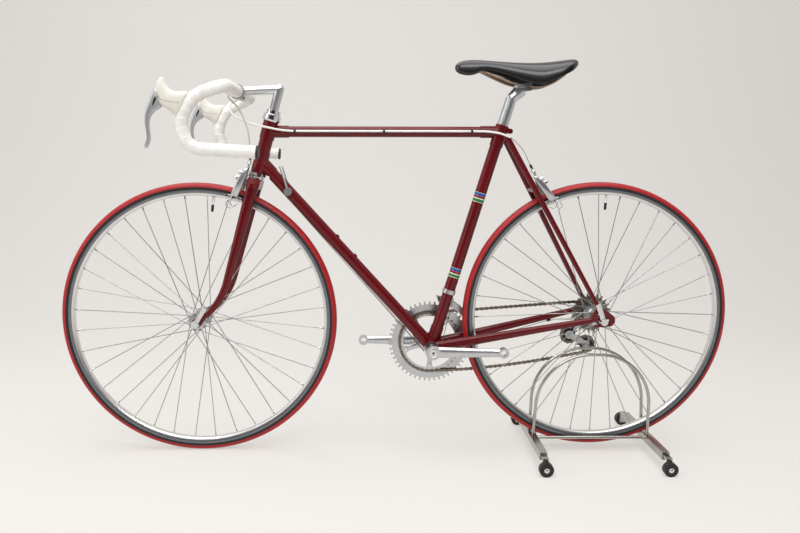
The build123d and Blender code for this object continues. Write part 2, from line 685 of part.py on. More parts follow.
def spider_arm(index):
    """The direction of one of the spider's five arms."""
    angle = radians(index * 72 + 198)
    return Vector(cos(angle), 0, sin(angle))


def spider():
    """Five arms that carry both rings; part of the right crank."""
    gap = abs(OUTER_RING_Y - INNER_RING_Y) - RING_THICKNESS - 0.1
    middle = BB + Vector(0, SPIDER_Y, 0)
    body = disc(BB + Vector(0, SPIDER_Y - 4, 0), 24, 4)
    for index in range(5):
        out = spider_arm(index)
        root, seat = BB + Vector(0, SPIDER_Y - 2, 0) + out * 14, middle + out * (CHAINRING_BCD / 2 - 11)
        body = body + taper(root, seat, (2.6, 9.0), (gap / 2, 6.0))
        tab = Plane(origin=middle + out * (CHAINRING_BCD / 2 - 6), x_dir=out, z_dir=(0, 1, 0)) * Box(12, 11.5, gap)
        body = body + tab + disc(middle + out * (CHAINRING_BCD / 2), 7.0, gap)
    return body - disc(middle, SPINDLE_R, 30)


def chainring(teeth, y, inner_r):
    """A ring with teeth outside and five bolt ears inside."""
    phase = phase_on(BB, teeth) if teeth == INNER_TEETH else pi / 2 + pi / teeth
    ring = toothed_disc(teeth, RING_THICKNESS, y, BB, phase, bore=inner_r)
    for index in range(5):
        centre = BB + spider_arm(index) * (CHAINRING_BCD / 2) + Vector(0, y, 0)
        ring = ring + disc(centre, 8.0, RING_THICKNESS)
    return ring


def bracket_cups():
    """Cups screwed into the shell, which the spindle turns in."""
    outer = BB_SHELL_WIDTH / 2
    left = turned([(SPINDLE_R + RUN_CLEARANCE, outer - 14), (BB_BORE_R, outer - 14), (BB_BORE_R, outer),
                   (20.5, outer), (20.5, outer + 4), (SPINDLE_R + RUN_CLEARANCE, outer + 4)], BB)
    right = turned([(SPINDLE_R + RUN_CLEARANCE, -outer + 14), (BB_BORE_R, -outer + 14), (BB_BORE_R, -outer),
                    (19, -outer), (19, -outer - 3), (SPINDLE_R + RUN_CLEARANCE, -outer - 3)], BB)
    return group(left, right)


# ---------------------------------------------------------------- freewheel
def freewheel():
    """Six sprockets stacked on the freewheel body, one solid."""
    bore = NECK_R + RUN_CLEARANCE
    inner_y = SMALL_COG_Y + COG_SPACING * (len(COG_TEETH) - 1) + 1.6
    body = turned([(bore, inner_y), (20, inner_y), (17.5, SMALL_COG_Y - 2.2), (bore, SMALL_COG_Y - 2.2)], REAR)
    for index, teeth in enumerate(COG_TEETH):
        phase = phase_on(REAR, teeth) if index == 0 else 0.3 * index
        body = body + toothed_disc(teeth, COG_THICKNESS, SMALL_COG_Y + COG_SPACING * index, REAR, phase, bore=15)
    return body


# ---------------------------------------------------------------- derailleurs
def pulley(at, phase):
    centre = Vector(REAR.X + at[0], 0, REAR.Z + at[1])
    return toothed_disc(PULLEY_TEETH, 2.2, SMALL_COG_Y, centre, phase, bore=3.0)


def rear_derailleur():
    """Knuckles, parallelogram and cage in their resting place under the small cog."""
    guide = Vector(REAR.X + GUIDE_PULLEY_AT[0], SMALL_COG_Y, REAR.Z + GUIDE_PULLEY_AT[1])
    tension = Vector(REAR.X + TENSION_PULLEY_AT[0], SMALL_COG_Y, REAR.Z + TENSION_PULLEY_AT[1])
    hook = Vector(REAR.X + 2, -STAY_END_Y, REAR.Z - 25)
    upper = disc(hook + Vector(0, -DROPOUT_THICKNESS / 2 - 8, 0), 10, 16)
    lower = disc(guide + Vector(-2, -12.5, 2), 12, 13)
    arm = taper(hook + Vector(4, -12, -3), guide + Vector(-2, -14, 4), (6.5, 8.0), (6.0, 9.0))
    body = upper + arm + lower
    cages = []
    for offset, sign in ((5.3, 1), (5.3, -1)):
        y = SMALL_COG_Y + sign * offset
        points_plate = cage_plate(guide, tension, y, 1.4)
        cages.append(points_plate)
    pins = [disc(guide, 2.8, 9.2), disc(tension, 2.8, 9.2)]
    cage = cages[0] + cages[1] + pins[0] + pins[1]
    return body, cage


def cage_plate(guide, tension, y, thickness):
    """A slim plate joining the two pulleys' axles."""
    a, b = Vector(guide.X, y, guide.Z), Vector(tension.X, y, tension.Z)
    axis = (b - a).normalized()
    strip = Plane(origin=(a + b) * 0.5, x_dir=axis, z_dir=Vector(0, 1, 0)) * Box((b - a).length, 15, thickness)
    return disc(a, 11, thickness) + disc(b, 10, thickness) + strip


FRONT_MECH_ALONG = 146.0


def front_derailleur():
    """Band clamp on the seat tube and the cage over the chain."""
    low, high = on_seat(FRONT_MECH_ALONG - 5), on_seat(FRONT_MECH_ALONG + 5)
    band = sleeve(low, high, MAIN_TUBE_R + 2.6, MAIN_TUBE_R)
    arm = rod(on_seat(FRONT_MECH_ALONG, -2, -MAIN_TUBE_R - 1.5), on_seat(FRONT_MECH_ALONG - 14, -6, -34), 4.5)
    body = band + arm - rod(BB, TOP_SEAT, MAIN_TUBE_R)
    cages = None
    near, far = pitch_radius(OUTER_TEETH) + 5.2, pitch_radius(OUTER_TEETH) + 20
    outline = [(far * cos(radians(turn)), far * sin(radians(turn))) for turn in range(98, 139, 8)]
    outline += [(-96, 66), (-93, 57), (-86, 60)]
    outline += [(near * cos(radians(turn)), near * sin(radians(turn))) for turn in range(142, 101, -8)]
    for y in (INNER_RING_Y + 6.5, INNER_RING_Y - 10.2):
        side = plate(outline, 1.2, y, BB)
        cages = side if cages is None else cages + side
    for forward, up in ((-28, 113), (-90.5, 62)):
        start = BB + Vector(forward, INNER_RING_Y + 7, up)
        cages = cages + rod(start, start - Vector(0, 17.7, 0), 2.0)
    link = rod(on_seat(FRONT_MECH_ALONG - 14, -6, -33),
               BB + Vector(cos(radians(112)), 0, sin(radians(112))) * (pitch_radius(OUTER_TEETH) + 14)
               + Vector(0, INNER_RING_Y + 6.5, 0), 4.0)
    anchor = rod(on_seat(FRONT_MECH_ALONG - 14, -6, -33), FRONT_MECH_ANCHOR + Vector(0, -0.4, 0), 2.6)
    return body + link + cages + anchor


# ---------------------------------------------------------------- steering parts
CROWN_HEIGHT = 22.0
CROWN_TOP_R, CROWN_SLOPE = 31.0, 0.62    # the crown's shoulders fall away, so they clear the down tube
BLADE_Y_TOP, BLADE_Y_END = 33.0, FRONT_OLD / 2 + DROPOUT_THICKNESS / 2
RAKE_START, BLADE_END = 118.0, 24.0


def steerer_and_crown():
    """The fork crown with the steerer brazed into it."""
    top = FORK_LENGTH
    column = rod(on_steering(top - CROWN_HEIGHT + 4), on_steering(HEAD_HIGH + 26), STEERER_R)
    centre = Plane(origin=on_steering(top - CROWN_HEIGHT / 2), x_dir=HEAD_FORWARD, z_dir=HEAD_AXIS)
    crown = centre * extrude(SlotCenterToCenter(2 * BLADE_Y_TOP - 2, 31, rotation=90), CROWN_HEIGHT / 2, both=True)
    shoulders = turned_on(STEER, [(0, top - CROWN_HEIGHT), (60, top - CROWN_HEIGHT),
                                  (60, top - CROWN_SLOPE * (60 - CROWN_TOP_R)), (CROWN_TOP_R, top), (0, top)])
    crown = crown & shoulders
    column = column - rod(on_steering(top + 40), on_steering(HEAD_HIGH + 27), STEM_R)
    return crown + column


def blade_station(along):
    """Where the left blade's axis lies, how it points and its half widths, at a height above the axle."""
    if along >= RAKE_START:
        forward, slope = 0.0, 0.0
    else:
        radius = (RAKE_START**2 + FORK_RAKE**2) / (2 * FORK_RAKE)
        fall = RAKE_START - along
        forward = radius - sqrt(radius**2 - fall**2)
        slope = asin(fall / radius)
    share = along / (FORK_LENGTH - CROWN_HEIGHT)
    y = BLADE_Y_END - 1 + (BLADE_Y_TOP - BLADE_Y_END + 1) * share
    long_half = 6.4 + 7.6 * max(0.0, share) ** 0.9
    wide_half = 6.0 + 3.6 * max(0.0, share)
    return on_steering(along, forward, y), slope, long_half, wide_half


def fork_blade():
    """The left blade: oval under the crown, thin and raked forward at the tip."""
    def section(along):
        point, slope, long_half, wide_half = blade_station(along)
        down = (HEAD_AXIS * -cos(slope) + HEAD_FORWARD * sin(slope)).normalized()
        return Plane(origin=point, x_dir=Vector(0, 1, 0), z_dir=down) * Ellipse(wide_half, long_half)

    straight = loft([section(FORK_LENGTH - CROWN_HEIGHT), section(RAKE_START)])
    steps = 4
    raked = loft([section(RAKE_START + (BLADE_END - RAKE_START) * i / steps) for i in range(steps + 1)])
    return straight + raked


def fork_end():
    """The left fork end, a plate slotted for the axle."""
    point, slope, _, _ = blade_station(BLADE_END)
    dx, dz = point.X - FRONT.X, point.Z - FRONT.Z
    outline = [(dx - 7, dz + 3), (dx + 3, dz + 8), (7, 10), (11, 2), (9, -9), (-7, -9), (-12, -4)]
    body = plate(outline, DROPOUT_THICKNESS, BLADE_Y_END, FRONT)
    return body - axle_slot((0, 0), (1, -20), FRONT, BLADE_Y_END)


def headset_fixed():
    """Cups pressed into the head tube."""
    lower = turned_on(STEER, [(HEAD_TUBE_BORE - 1, HEAD_LOW), (20.5, HEAD_LOW), (21.5, HEAD_LOW - 6),
                              (20, HEAD_LOW - 8.6), (HEAD_TUBE_BORE - 1, HEAD_LOW - 8.6)])
    upper = turned_on(STEER, [(HEAD_TUBE_BORE - 1, HEAD_HIGH), (20, HEAD_HIGH), (21.8, HEAD_HIGH + 4),
                              (21.8, HEAD_HIGH + 8), (HEAD_TUBE_BORE - 1, HEAD_HIGH + 8)])
    return group(lower, upper)


def headset_moving():
    """Crown race below, adjusting race and locknut above."""
    inner = STEERER_R
    race = turned_on(STEER, [(inner, FORK_LENGTH), (18.5, FORK_LENGTH), (19.5, FORK_LENGTH + 6.1), (inner, FORK_LENGTH + 6.1)])
    base = HEAD_HIGH + 8 + RUN_CLEARANCE
    top = turned_on(STEER, [(inner, base), (21, base), (21, base + 7), (17, base + 9), (17, base + 18), (STEM_R + 0.05, base + 18),
                            (STEM_R + 0.05, HEAD_HIGH + 26), (inner, HEAD_HIGH + 26)])
    return group(race, top)


STEM_CORNER = on_steering(FORK_LENGTH + STEM_RISE)
BAR_CENTRE = Vector(STEM_CORNER.X + STEM_REACH, 0, STEM_CORNER.Z - STEM_DROP)


def stem():
    """Quill, corner, level extension and bar clamp."""
    quill = rod(on_steering(FORK_LENGTH + 90), STEM_CORNER, STEM_R)
    corner = Pos(*STEM_CORNER) * Sphere(STEM_R)
    reach = rod(STEM_CORNER, BAR_CENTRE + Vector(-6, 0, 3), STEM_R)
    clamp = disc(BAR_CENTRE, 17.5, 36)
    binder = rod(BAR_CENTRE + Vector(-11, -13, -15), BAR_CENTRE + Vector(-11, 13, -15), 6)
    body = quill + corner + reach + clamp + binder
    return body - disc(BAR_CENTRE, CLAMP_R, 60)


BAR_POINTS = ((0.0, 0.0, 0.0), (0.0, 1.0, 0.0), (66.0, 1.0, -28.0), (93.0, 1.0, -79.0), (74.0, 1.0, -133.0), (-69.0, 1.0, -142.0))
BAR_BENDS = (44.0, 66.0, 56.0, 37.0)


def bar_route(start_y=0.0):
    """The left half of the handlebar from near its middle to the end of the drop."""
    return [BAR_CENTRE + Vector(forward, max(start_y, BAR_HALF_WIDTH * side), up) for forward, side, up in BAR_POINTS]


def bent_tube(route, radius, bends):
    path = FilletPolyline(*route, radius=bends)
    return sweep(Plane(origin=path @ 0, z_dir=path % 0) * Circle(radius), path=path)


TAPE_START = 26.0


def handlebar():
    """The bare bar: the clamp bulge and what shows between the stem and the tape."""
    middle = disc(BAR_CENTRE, CLAMP_R, 2 * TAPE_START - 8)
    ends = disc(BAR_CENTRE, BAR_R, 2 * TAPE_START)
    return middle + ends


def bar_half():
    """One taped half of the bar, bar and tape as one solid."""
    return bent_tube(bar_route(TAPE_START), TAPE_R, BAR_BENDS)


def hood():
    """The left rubber hood over the lever's body."""
    outline = [(66, -21), (84, -19), (104, -11), (117, 6), (125, 11), (133, 0), (137, -14), (132, -32),
               (127, -49), (112, -57), (100, -66), (88, -50)]
    body = plate(outline, 30, BAR_HALF_WIDTH, BAR_CENTRE)
    body = fillet(body.edges().filter_by(lambda e: e.length > 29.9 and e.length < 30.1), 2.5)
    cut = bent_tube(bar_route(TAPE_START), TAPE_R, BAR_BENDS)
    return body - cut


def lever_blade():
    """The left brake lever blade, hanging from the hood's front."""
    outline = [(137.8, -18), (141, -17), (150, -36), (158, -62), (157, -84), (159, -104), (165, -127),
               (161, -131), (152, -112), (148, -90), (148, -70), (140, -58), (126, -50), (128, -24)]
    return plate(outline, 13, BAR_HALF_WIDTH, BAR_CENTRE)


# ---------------------------------------------------------------- brakes
def side_pull(frame_plane, reach, front):
    """Two caliper arms on one centre bolt, in a plane whose X is forward, Y left, Z up."""
    sign = 1 if front else -1
    pads_y = RIM_WIDTH / 2 + 3.0
    arms = []
    for side, layer in ((sign, 9.0), (-sign, 15.5)):
        outer = [(4 * side, 11), (22 * side, 8), (31 * side, -8), (31 * side, -30), (27 * side, -reach - 6),
                 (18 * side, -reach - 6), (21 * side, -28), (20 * side, -12), (10 * side, -6), (-7 * side, -8), (-9 * side, 6)]
        face = make_face(Polyline(*outer, close=True))
        arm = extrude(face, 5.6, dir=(0, 0, 1))
        arms.append(frame_plane * Pos(0, 0, layer) * arm)
    bolt = frame_plane * Pos(0, 0, 12.05) * Cylinder(3.8, 24)
    nut = frame_plane * Pos(0, 0, 23.5) * Cylinder(6, 4)
    short = [(8, 6), (34, 22), (38, 15), (22, 2)]
    long = [(-8, 6), (30, 33), (36, 27), (10, 2)]
    upper = []
    for outline, layer in ((short, 9.0), (long, 15.5)):
        face = make_face(Polyline(*[(sign * x, y) for x, y in outline], close=True))
        upper.append(frame_plane * Pos(0, 0, layer) * extrude(face, 5.6, dir=(0, 0, 1)))
    barrel = frame_plane * Pos(sign * ADJUSTER_AT[0], ADJUSTER_AT[1], ADJUSTER_AT[2]) * Rot(-90, 0, 0)
    barrel = barrel * (Cylinder(3.2, ADJUSTER_LENGTH) + Pos(0, 0, ADJUSTER_LENGTH / 2 - 9) * Cylinder(4.6, 6))
    body = arms[0] + upper[0] + arms[1] + upper[1] + bolt + nut + barrel
    pads = []
    for side in (1, -1):
        pads.append(frame_plane * Pos(side * (pads_y + 4.5), -reach, 12.0) * Box(8, 11, 46))
    body = body - pads[0] - pads[1]
    return body, group(*pads)


def adjuster_top(plane, sign):
    """Where the cable enters the barrel on a caliper's long arm."""
    x, y, z = ADJUSTER_AT
    return plane.origin + plane.x_dir * (sign * x) + plane.y_dir * (y + ADJUSTER_LENGTH / 2) + plane.z_dir * z


ADJUSTER_AT, ADJUSTER_LENGTH = (32.0, 38.0, 18.3), 24.0
FRONT_BRAKE_ALONG = FORK_LENGTH - 9.0
FRONT_BRAKE = Plane(origin=on_steering(FRONT_BRAKE_ALONG, 15.6), x_dir=Vector(0, 1, 0), z_dir=HEAD_FORWARD)
STAY_DIR = (stay_point(700) - stay_point(400)).normalized()
STAY_UP = Vector(STAY_DIR.X, 0, STAY_DIR.Z).normalized()
STAY_BACK = Vector(-STAY_UP.Z, 0, STAY_UP.X)


REAR_BRAKE = Plane(origin=BRIDGE_AT + STAY_BACK * 6.6, x_dir=Vector(0, -1, 0), z_dir=STAY_BACK)


def brake_reach(plane, wheel):
    """Distance from a caliper's bolt down to the rim's braking face."""
    middle_r = BEAD_R - 4.0
    offset = plane.origin - wheel
    across = offset.dot(plane.z_dir) + 12.0
    up = offset.dot(plane.y_dir)
    return up - sqrt(middle_r**2 - across**2)


# ---------------------------------------------------------------- cables and small controls
HOUSING_Y = TOP_TUBE_R + CABLE_R + RUN_CLEARANCE
HOUSING_Z = TOP_TUBE_HEIGHT + 1.0
HOUSING_START = CLIP_PLACES[0] + 4.0
DOWN_UNDER = Vector(DOWN_DIR.Z, 0, -DOWN_DIR.X)
SHIFTER_Y = 19.0
CABLE_STOP = Vector(REAR.X + 105.5, -57.0, AXLE_Z - 25.0)


def bar_exit(side):
    """Where a brake cable comes out from under the tape: its last points beside the bar."""
    away = (TAPE_R + CABLE_R + RUN_CLEARANCE) / sqrt(2)
    start = BAR_CENTRE + Vector(away, side * 62, -away)
    return [start, start + Vector(4, -side * 24, -5)]


def rear_housing_free():
    """From the right half of the bar, in front of the head tube, to the top tube's first clip."""
    here = BAR_CENTRE
    points = bar_exit(-1) + [here + Vector(26, -20, -26), here + Vector(22, 0, -42), here + Vector(8, 16, -56),
                             here + Vector(-14, 26, -68), here + Vector(-39, 29.5, -76), here + Vector(-67, 27.5, -81.5),
                             Vector(288, 21.0, HOUSING_Z + 3), Vector(269, HOUSING_Y + 2.2, HOUSING_Z + 1),
                             Vector(HOUSING_START + 0.6, HOUSING_Y, HOUSING_Z)]
    return wire(points, CABLE_R, name="rear brake housing, free span")


def rear_housing():
    """Along the left of the top tube and round the seat lug."""
    last = CLIP_PLACES[-1]
    points = [Vector(HOUSING_START, HOUSING_Y, HOUSING_Z), Vector(last - 12, HOUSING_Y, HOUSING_Z),
              Vector(-206, 19.5, HOUSING_Z - 0.5), Vector(-224, 26, HOUSING_Z - 2.5), Vector(-243, 31, HOUSING_Z - 6.5),
              REAR_HOUSING_END]
    return wire(points, CABLE_R, name="rear brake housing, clipped")


REAR_HOUSING_END = Vector(-262, 31.5, HOUSING_Z - 14.5)


def rear_inner():
    """The bare inner cable from the end of the housing down to the rear caliper."""
    top = adjuster_top(REAR_BRAKE, -1)
    points = [REAR_HOUSING_END + Vector(-0.4, 0, -0.2), Vector(-281, 32, 757.5), Vector(-298, 32, 738),
              top + STAY_UP * 16, top + STAY_UP * 0.05]
    return wire(points, INNER_CABLE_R, name="rear brake inner cable")


def front_housing():
    """From the left half of the bar down to the front caliper."""
    top = adjuster_top(FRONT_BRAKE, 1)
    here = BAR_CENTRE
    points = [here + Vector(12, 62, -12), here + Vector(18, 42, -19), here + Vector(15, 31, -38), here + Vector(1, 30, -64),
              here + Vector(-13, 31.5, -94), top + HEAD_AXIS * 28, top + HEAD_AXIS * 0.05]
    return wire(points, SLIM_CABLE_R, name="front brake housing")


def clip(x):
    """A band round the top tube with a loop for the housing."""
    half = Vector(CLIP_WIDTH / 2, 0, 0)
    tube, cable = Vector(x, 0, TOP_TUBE_HEIGHT), Vector(x, HOUSING_Y, HOUSING_Z)
    band = rod(tube - half, tube + half, TOP_TUBE_R + CLIP_WALL) + rod(cable - half, cable + half, CABLE_R + CLIP_WALL)
    return band - rod(tube - half * 2, tube + half * 2, TOP_TUBE_R) - rod(cable - half * 2, cable + half * 2, CABLE_R + 0.05)


def shift_lever(side):
    """A lever on its hub beside the down tube; side is +1 for the left."""
    centre = BB + DOWN_DIR * SHIFTER_ALONG
    hub = rod(centre + Vector(0, side * 10, 0), centre + Vector(0, side * 25, 0), SHIFTER_HUB_R)
    screw = rod(centre + Vector(0, side * 24, 0), centre + Vector(0, side * 29, 0), 5.0)
    tip = centre + Vector(17, side * 27, 58.5)
    blade = taper(centre + Vector(1, side * 20, 6), tip, (4.2, 2.6), (5.4, 1.5))
    body = hub + blade + screw + Pos(*tip) * Sphere(2.2)
    return body - rod(BB, DOWN_HEAD, MAIN_TUBE_R)


def under_bracket(turn, y):
    """A point just under the bottom bracket shell, at an angle from straight forward."""
    reach = BB_SHELL_R + INNER_CABLE_R + 0.4
    return BB + Vector(reach * 1.2 * cos(radians(turn)), y, reach * 1.2 * sin(radians(turn)))


def shift_cables():
    """Bare cables from both levers, under the bracket, to the two derailleurs."""
    solids = []
    start = BB + DOWN_DIR * SHIFTER_ALONG + DOWN_UNDER * (SHIFTER_HUB_R + INNER_CABLE_R + 0.1)
    right = [start + Vector(0, -SHIFTER_Y, 0), under_bracket(-73, -8), CABLE_STOP]
    left = [start + Vector(0, SHIFTER_Y, 0), under_bracket(-73, 5), under_bracket(-140, 3), FRONT_MECH_ANCHOR]
    for points, radii in ((right, [22.0]), (left, [16.0, 14.0])):
        solids.append(wire(points, INNER_CABLE_R, radii=radii))
    return group(*solids)


FRONT_MECH_ANCHOR = on_seat(FRONT_MECH_ALONG - 20, -22, -29)


def shift_housing():
    """The short housing from the chainstay's stop to the rear derailleur."""
    hook = Vector(REAR.X + 2, -STAY_END_Y - DROPOUT_THICKNESS / 2 - 13, REAR.Z - 25)
    points = [CABLE_STOP + Vector(-9.3, -1.2, 2), CABLE_STOP + Vector(-32, -5, 3), CABLE_STOP + Vector(-56, -13, 0),
              hook + Vector(24, -3, -1), hook + Vector(10.2, 0, 0.5)]
    return wire(points, SLIM_CABLE_R, name="rear derailleur housing")


def cable_stop():
    """The stop brazed under the right chainstay, with the bracket's cable guide."""
    stop = rod(CABLE_STOP + Vector(0.4, 0, 0), CABLE_STOP + Vector(-9, -1.2, 2), 3.2)
    return stop


def boss_place(along):
    """The mouth of a bottle boss on the down tube's upper side and the way its bolt points out."""
    return BB + DOWN_DIR * along - DOWN_UNDER * (MAIN_TUBE_R + BOSS_HEIGHT), DOWN_UNDER * -1


def bottle_bosses():
    """Two threaded bosses for a bottle cage, and the bores they need in the tube."""
    bosses, bores = [], []
    for along in BOSS_ALONG:
        mouth, out = boss_place(along)
        bores.append(rod(mouth - out * BOSS_DEPTH, mouth + out, BOSS_BORE_R))
        bosses.append(rod(mouth - out * (BOSS_HEIGHT + 3), mouth, BOSS_R) - rod(BB, DOWN_HEAD, MAIN_TUBE_R) - bores[-1])
    return bosses, bores


# ---------------------------------------------------------------- saddle
SADDLE_Z = 956.0
SADDLE_STATIONS = ((357.0, 5.0, -13.0, -24.0), (347.0, 14.0, -3.5, -30.0), (320.0, 19.0, 0.0, -33.0),
                   (285.0, 21.0, -0.5, -26.0), (245.0, 27.0, -3.5, -35.0), (205.0, 43.0, -7.0, -54.0),
                   (165.0, 61.0, -7.5, -62.0), (125.0, 70.0, -5.0, -53.0), (100.0, 69.0, -4.0, -41.0), (83.0, 56.0, -6.0, -25.0))


def saddle():
    """A slim saddle: crowned sections from nose to tail, hollowed below."""
    outer, inner = [], []
    for along, half, top, low in SADDLE_STATIONS:
        for wall, sections in ((0.0, outer), (6.0, inner)):
            w, t, b = half - wall, SADDLE_Z + top - wall, SADDLE_Z + low - (0.0 if wall == 0 else 0.5)
            if w < 6 and wall > 0:
                continue
            plane = Plane(origin=(REAR.X + along, 0, 0), x_dir=(0, 1, 0), z_dir=(1, 0, 0))
            arc = ThreePointArc((-w, b), (0, t), (w, b))
            sections.append(plane * make_face(Curve() + [arc, Line(arc @ 1, arc @ 0)]))
    body = loft(outer)
    return body - loft(inner[1:-1])


RAIL_Y = 22.0
RAIL_LOW_Z = -62.0 - 3.0


def saddle_rail():
    """The left rail wire."""
    x0, z0 = REAR.X, SADDLE_Z
    points = [(x0 + 300, 9, z0 - 24), (x0 + 262, 19, z0 - 40), (x0 + 226, RAIL_Y, z0 - 55), (x0 + 160, RAIL_Y, z0 - 64),
              (x0 + 130, 28, z0 - 55), (x0 + 104, 36, z0 - 36)]
    return wire(points, 3.5)


CLAMP_AT = Vector(REAR.X + 196, 0, SADDLE_Z - 62)


def seat_post():
    """The post: fluted shaft and forged head that lean back to the clamp."""
    shaft_top = on_seat(SEAT_TUBE_LENGTH + 66)
    shaft = rod(on_seat(SEAT_TUBE_LENGTH - POST_INSERTION), shaft_top, SEAT_POST_R)
    neck = taper(shaft_top, CLAMP_AT + Vector(2, 0, -6), (13.3, 13.3), (13, 16))
    cradle = Pos(*(CLAMP_AT + Vector(0, 0, -8))) * Rot(0, 7, 0) * Box(40, 36, 7)
    return shaft + neck + cradle


def seat_clamp(rails):
    """Upper plate of the seat post's clamp, over the rails."""
    body = Pos(*(CLAMP_AT + Vector(0, 0, 1.5))) * Rot(0, 7, 0) * Box(36, 54, 9)
    return body - rails


# ---------------------------------------------------------------- stand
FOOT_INNER = STAND_WIDTH / 2 - STAND_FOOT_WIDTH
TONGUE_LENGTH = 22.0


def stand_bars():
    """Two square foot bars, with a stepped tongue and a bracket for the foot at each end."""
    solids = []
    for side in (1, -1):
        x = STAND_X + side * STAND_BAR_SPACING / 2
        half = FOOT_INNER - TONGUE_LENGTH
        bar = Pos(x, 0, STAND_TOP - STAND_BAR_SIZE / 2) * Box(STAND_BAR_SIZE, 2 * half, STAND_BAR_SIZE)
        for end in (1, -1):
            tongue = Pos(x, end * (half + TONGUE_LENGTH / 2), STAND_TOP - 8) * Box(14, TONGUE_LENGTH, 6)
            bracket = Pos(x, end * (FOOT_INNER - 1.5), (STAND_TOP - 5 + 10) / 2) * Box(14, 3, STAND_TOP - 5 - 10)
            bar = bar + tongue + bracket
        solids.append(bar)
    return solids


def stand_feet():
    """Four rubber discs."""
    solids = []
    for side in (1, -1):
        for end in (1, -1):
            centre = Vector(STAND_X + side * STAND_BAR_SPACING / 2, end * (FOOT_INNER + STAND_FOOT_WIDTH / 2), STAND_FOOT_R)
            solids.append(disc(centre, STAND_FOOT_R, STAND_FOOT_WIDTH))
    return group(*solids)


def hoop():
    """The left wire hoop, bent to an arch, which stands on both foot bars beside the wheel."""
    rise = Vector(0, HOOP_TOP_Y - HOOP_FOOT_Y, HOOP_TOP - STAND_TOP)
    base = Plane(origin=(STAND_X, HOOP_FOOT_Y, STAND_TOP), x_dir=(1, 0, 0), z_dir=Vector(1, 0, 0).cross(rise))
    foot, half, top = STAND_BAR_SPACING / 2 - 1, STAND_BAR_SPACING / 2 - 7, rise.length
    path = base * FilletPolyline((-foot, -6), (-half, top), (half, top), (foot, -6), radius=half - 5)
    return sweep(Plane(origin=path @ 0, z_dir=path % 0) * Circle(HOOP_WIRE_R), path=path)


def stand_rods():
    """Two rods that tie the foot bars together, one on each side of the tyre."""
    z = STAND_TOP - STAND_BAR_SIZE / 2
    return group(*[rod((STAND_X - BAR_INNER, side * HOOP_FOOT_Y, z), (STAND_X + BAR_INNER, side * HOOP_FOOT_Y, z), HOOP_WIRE_R)
                   for side in (1, -1)])


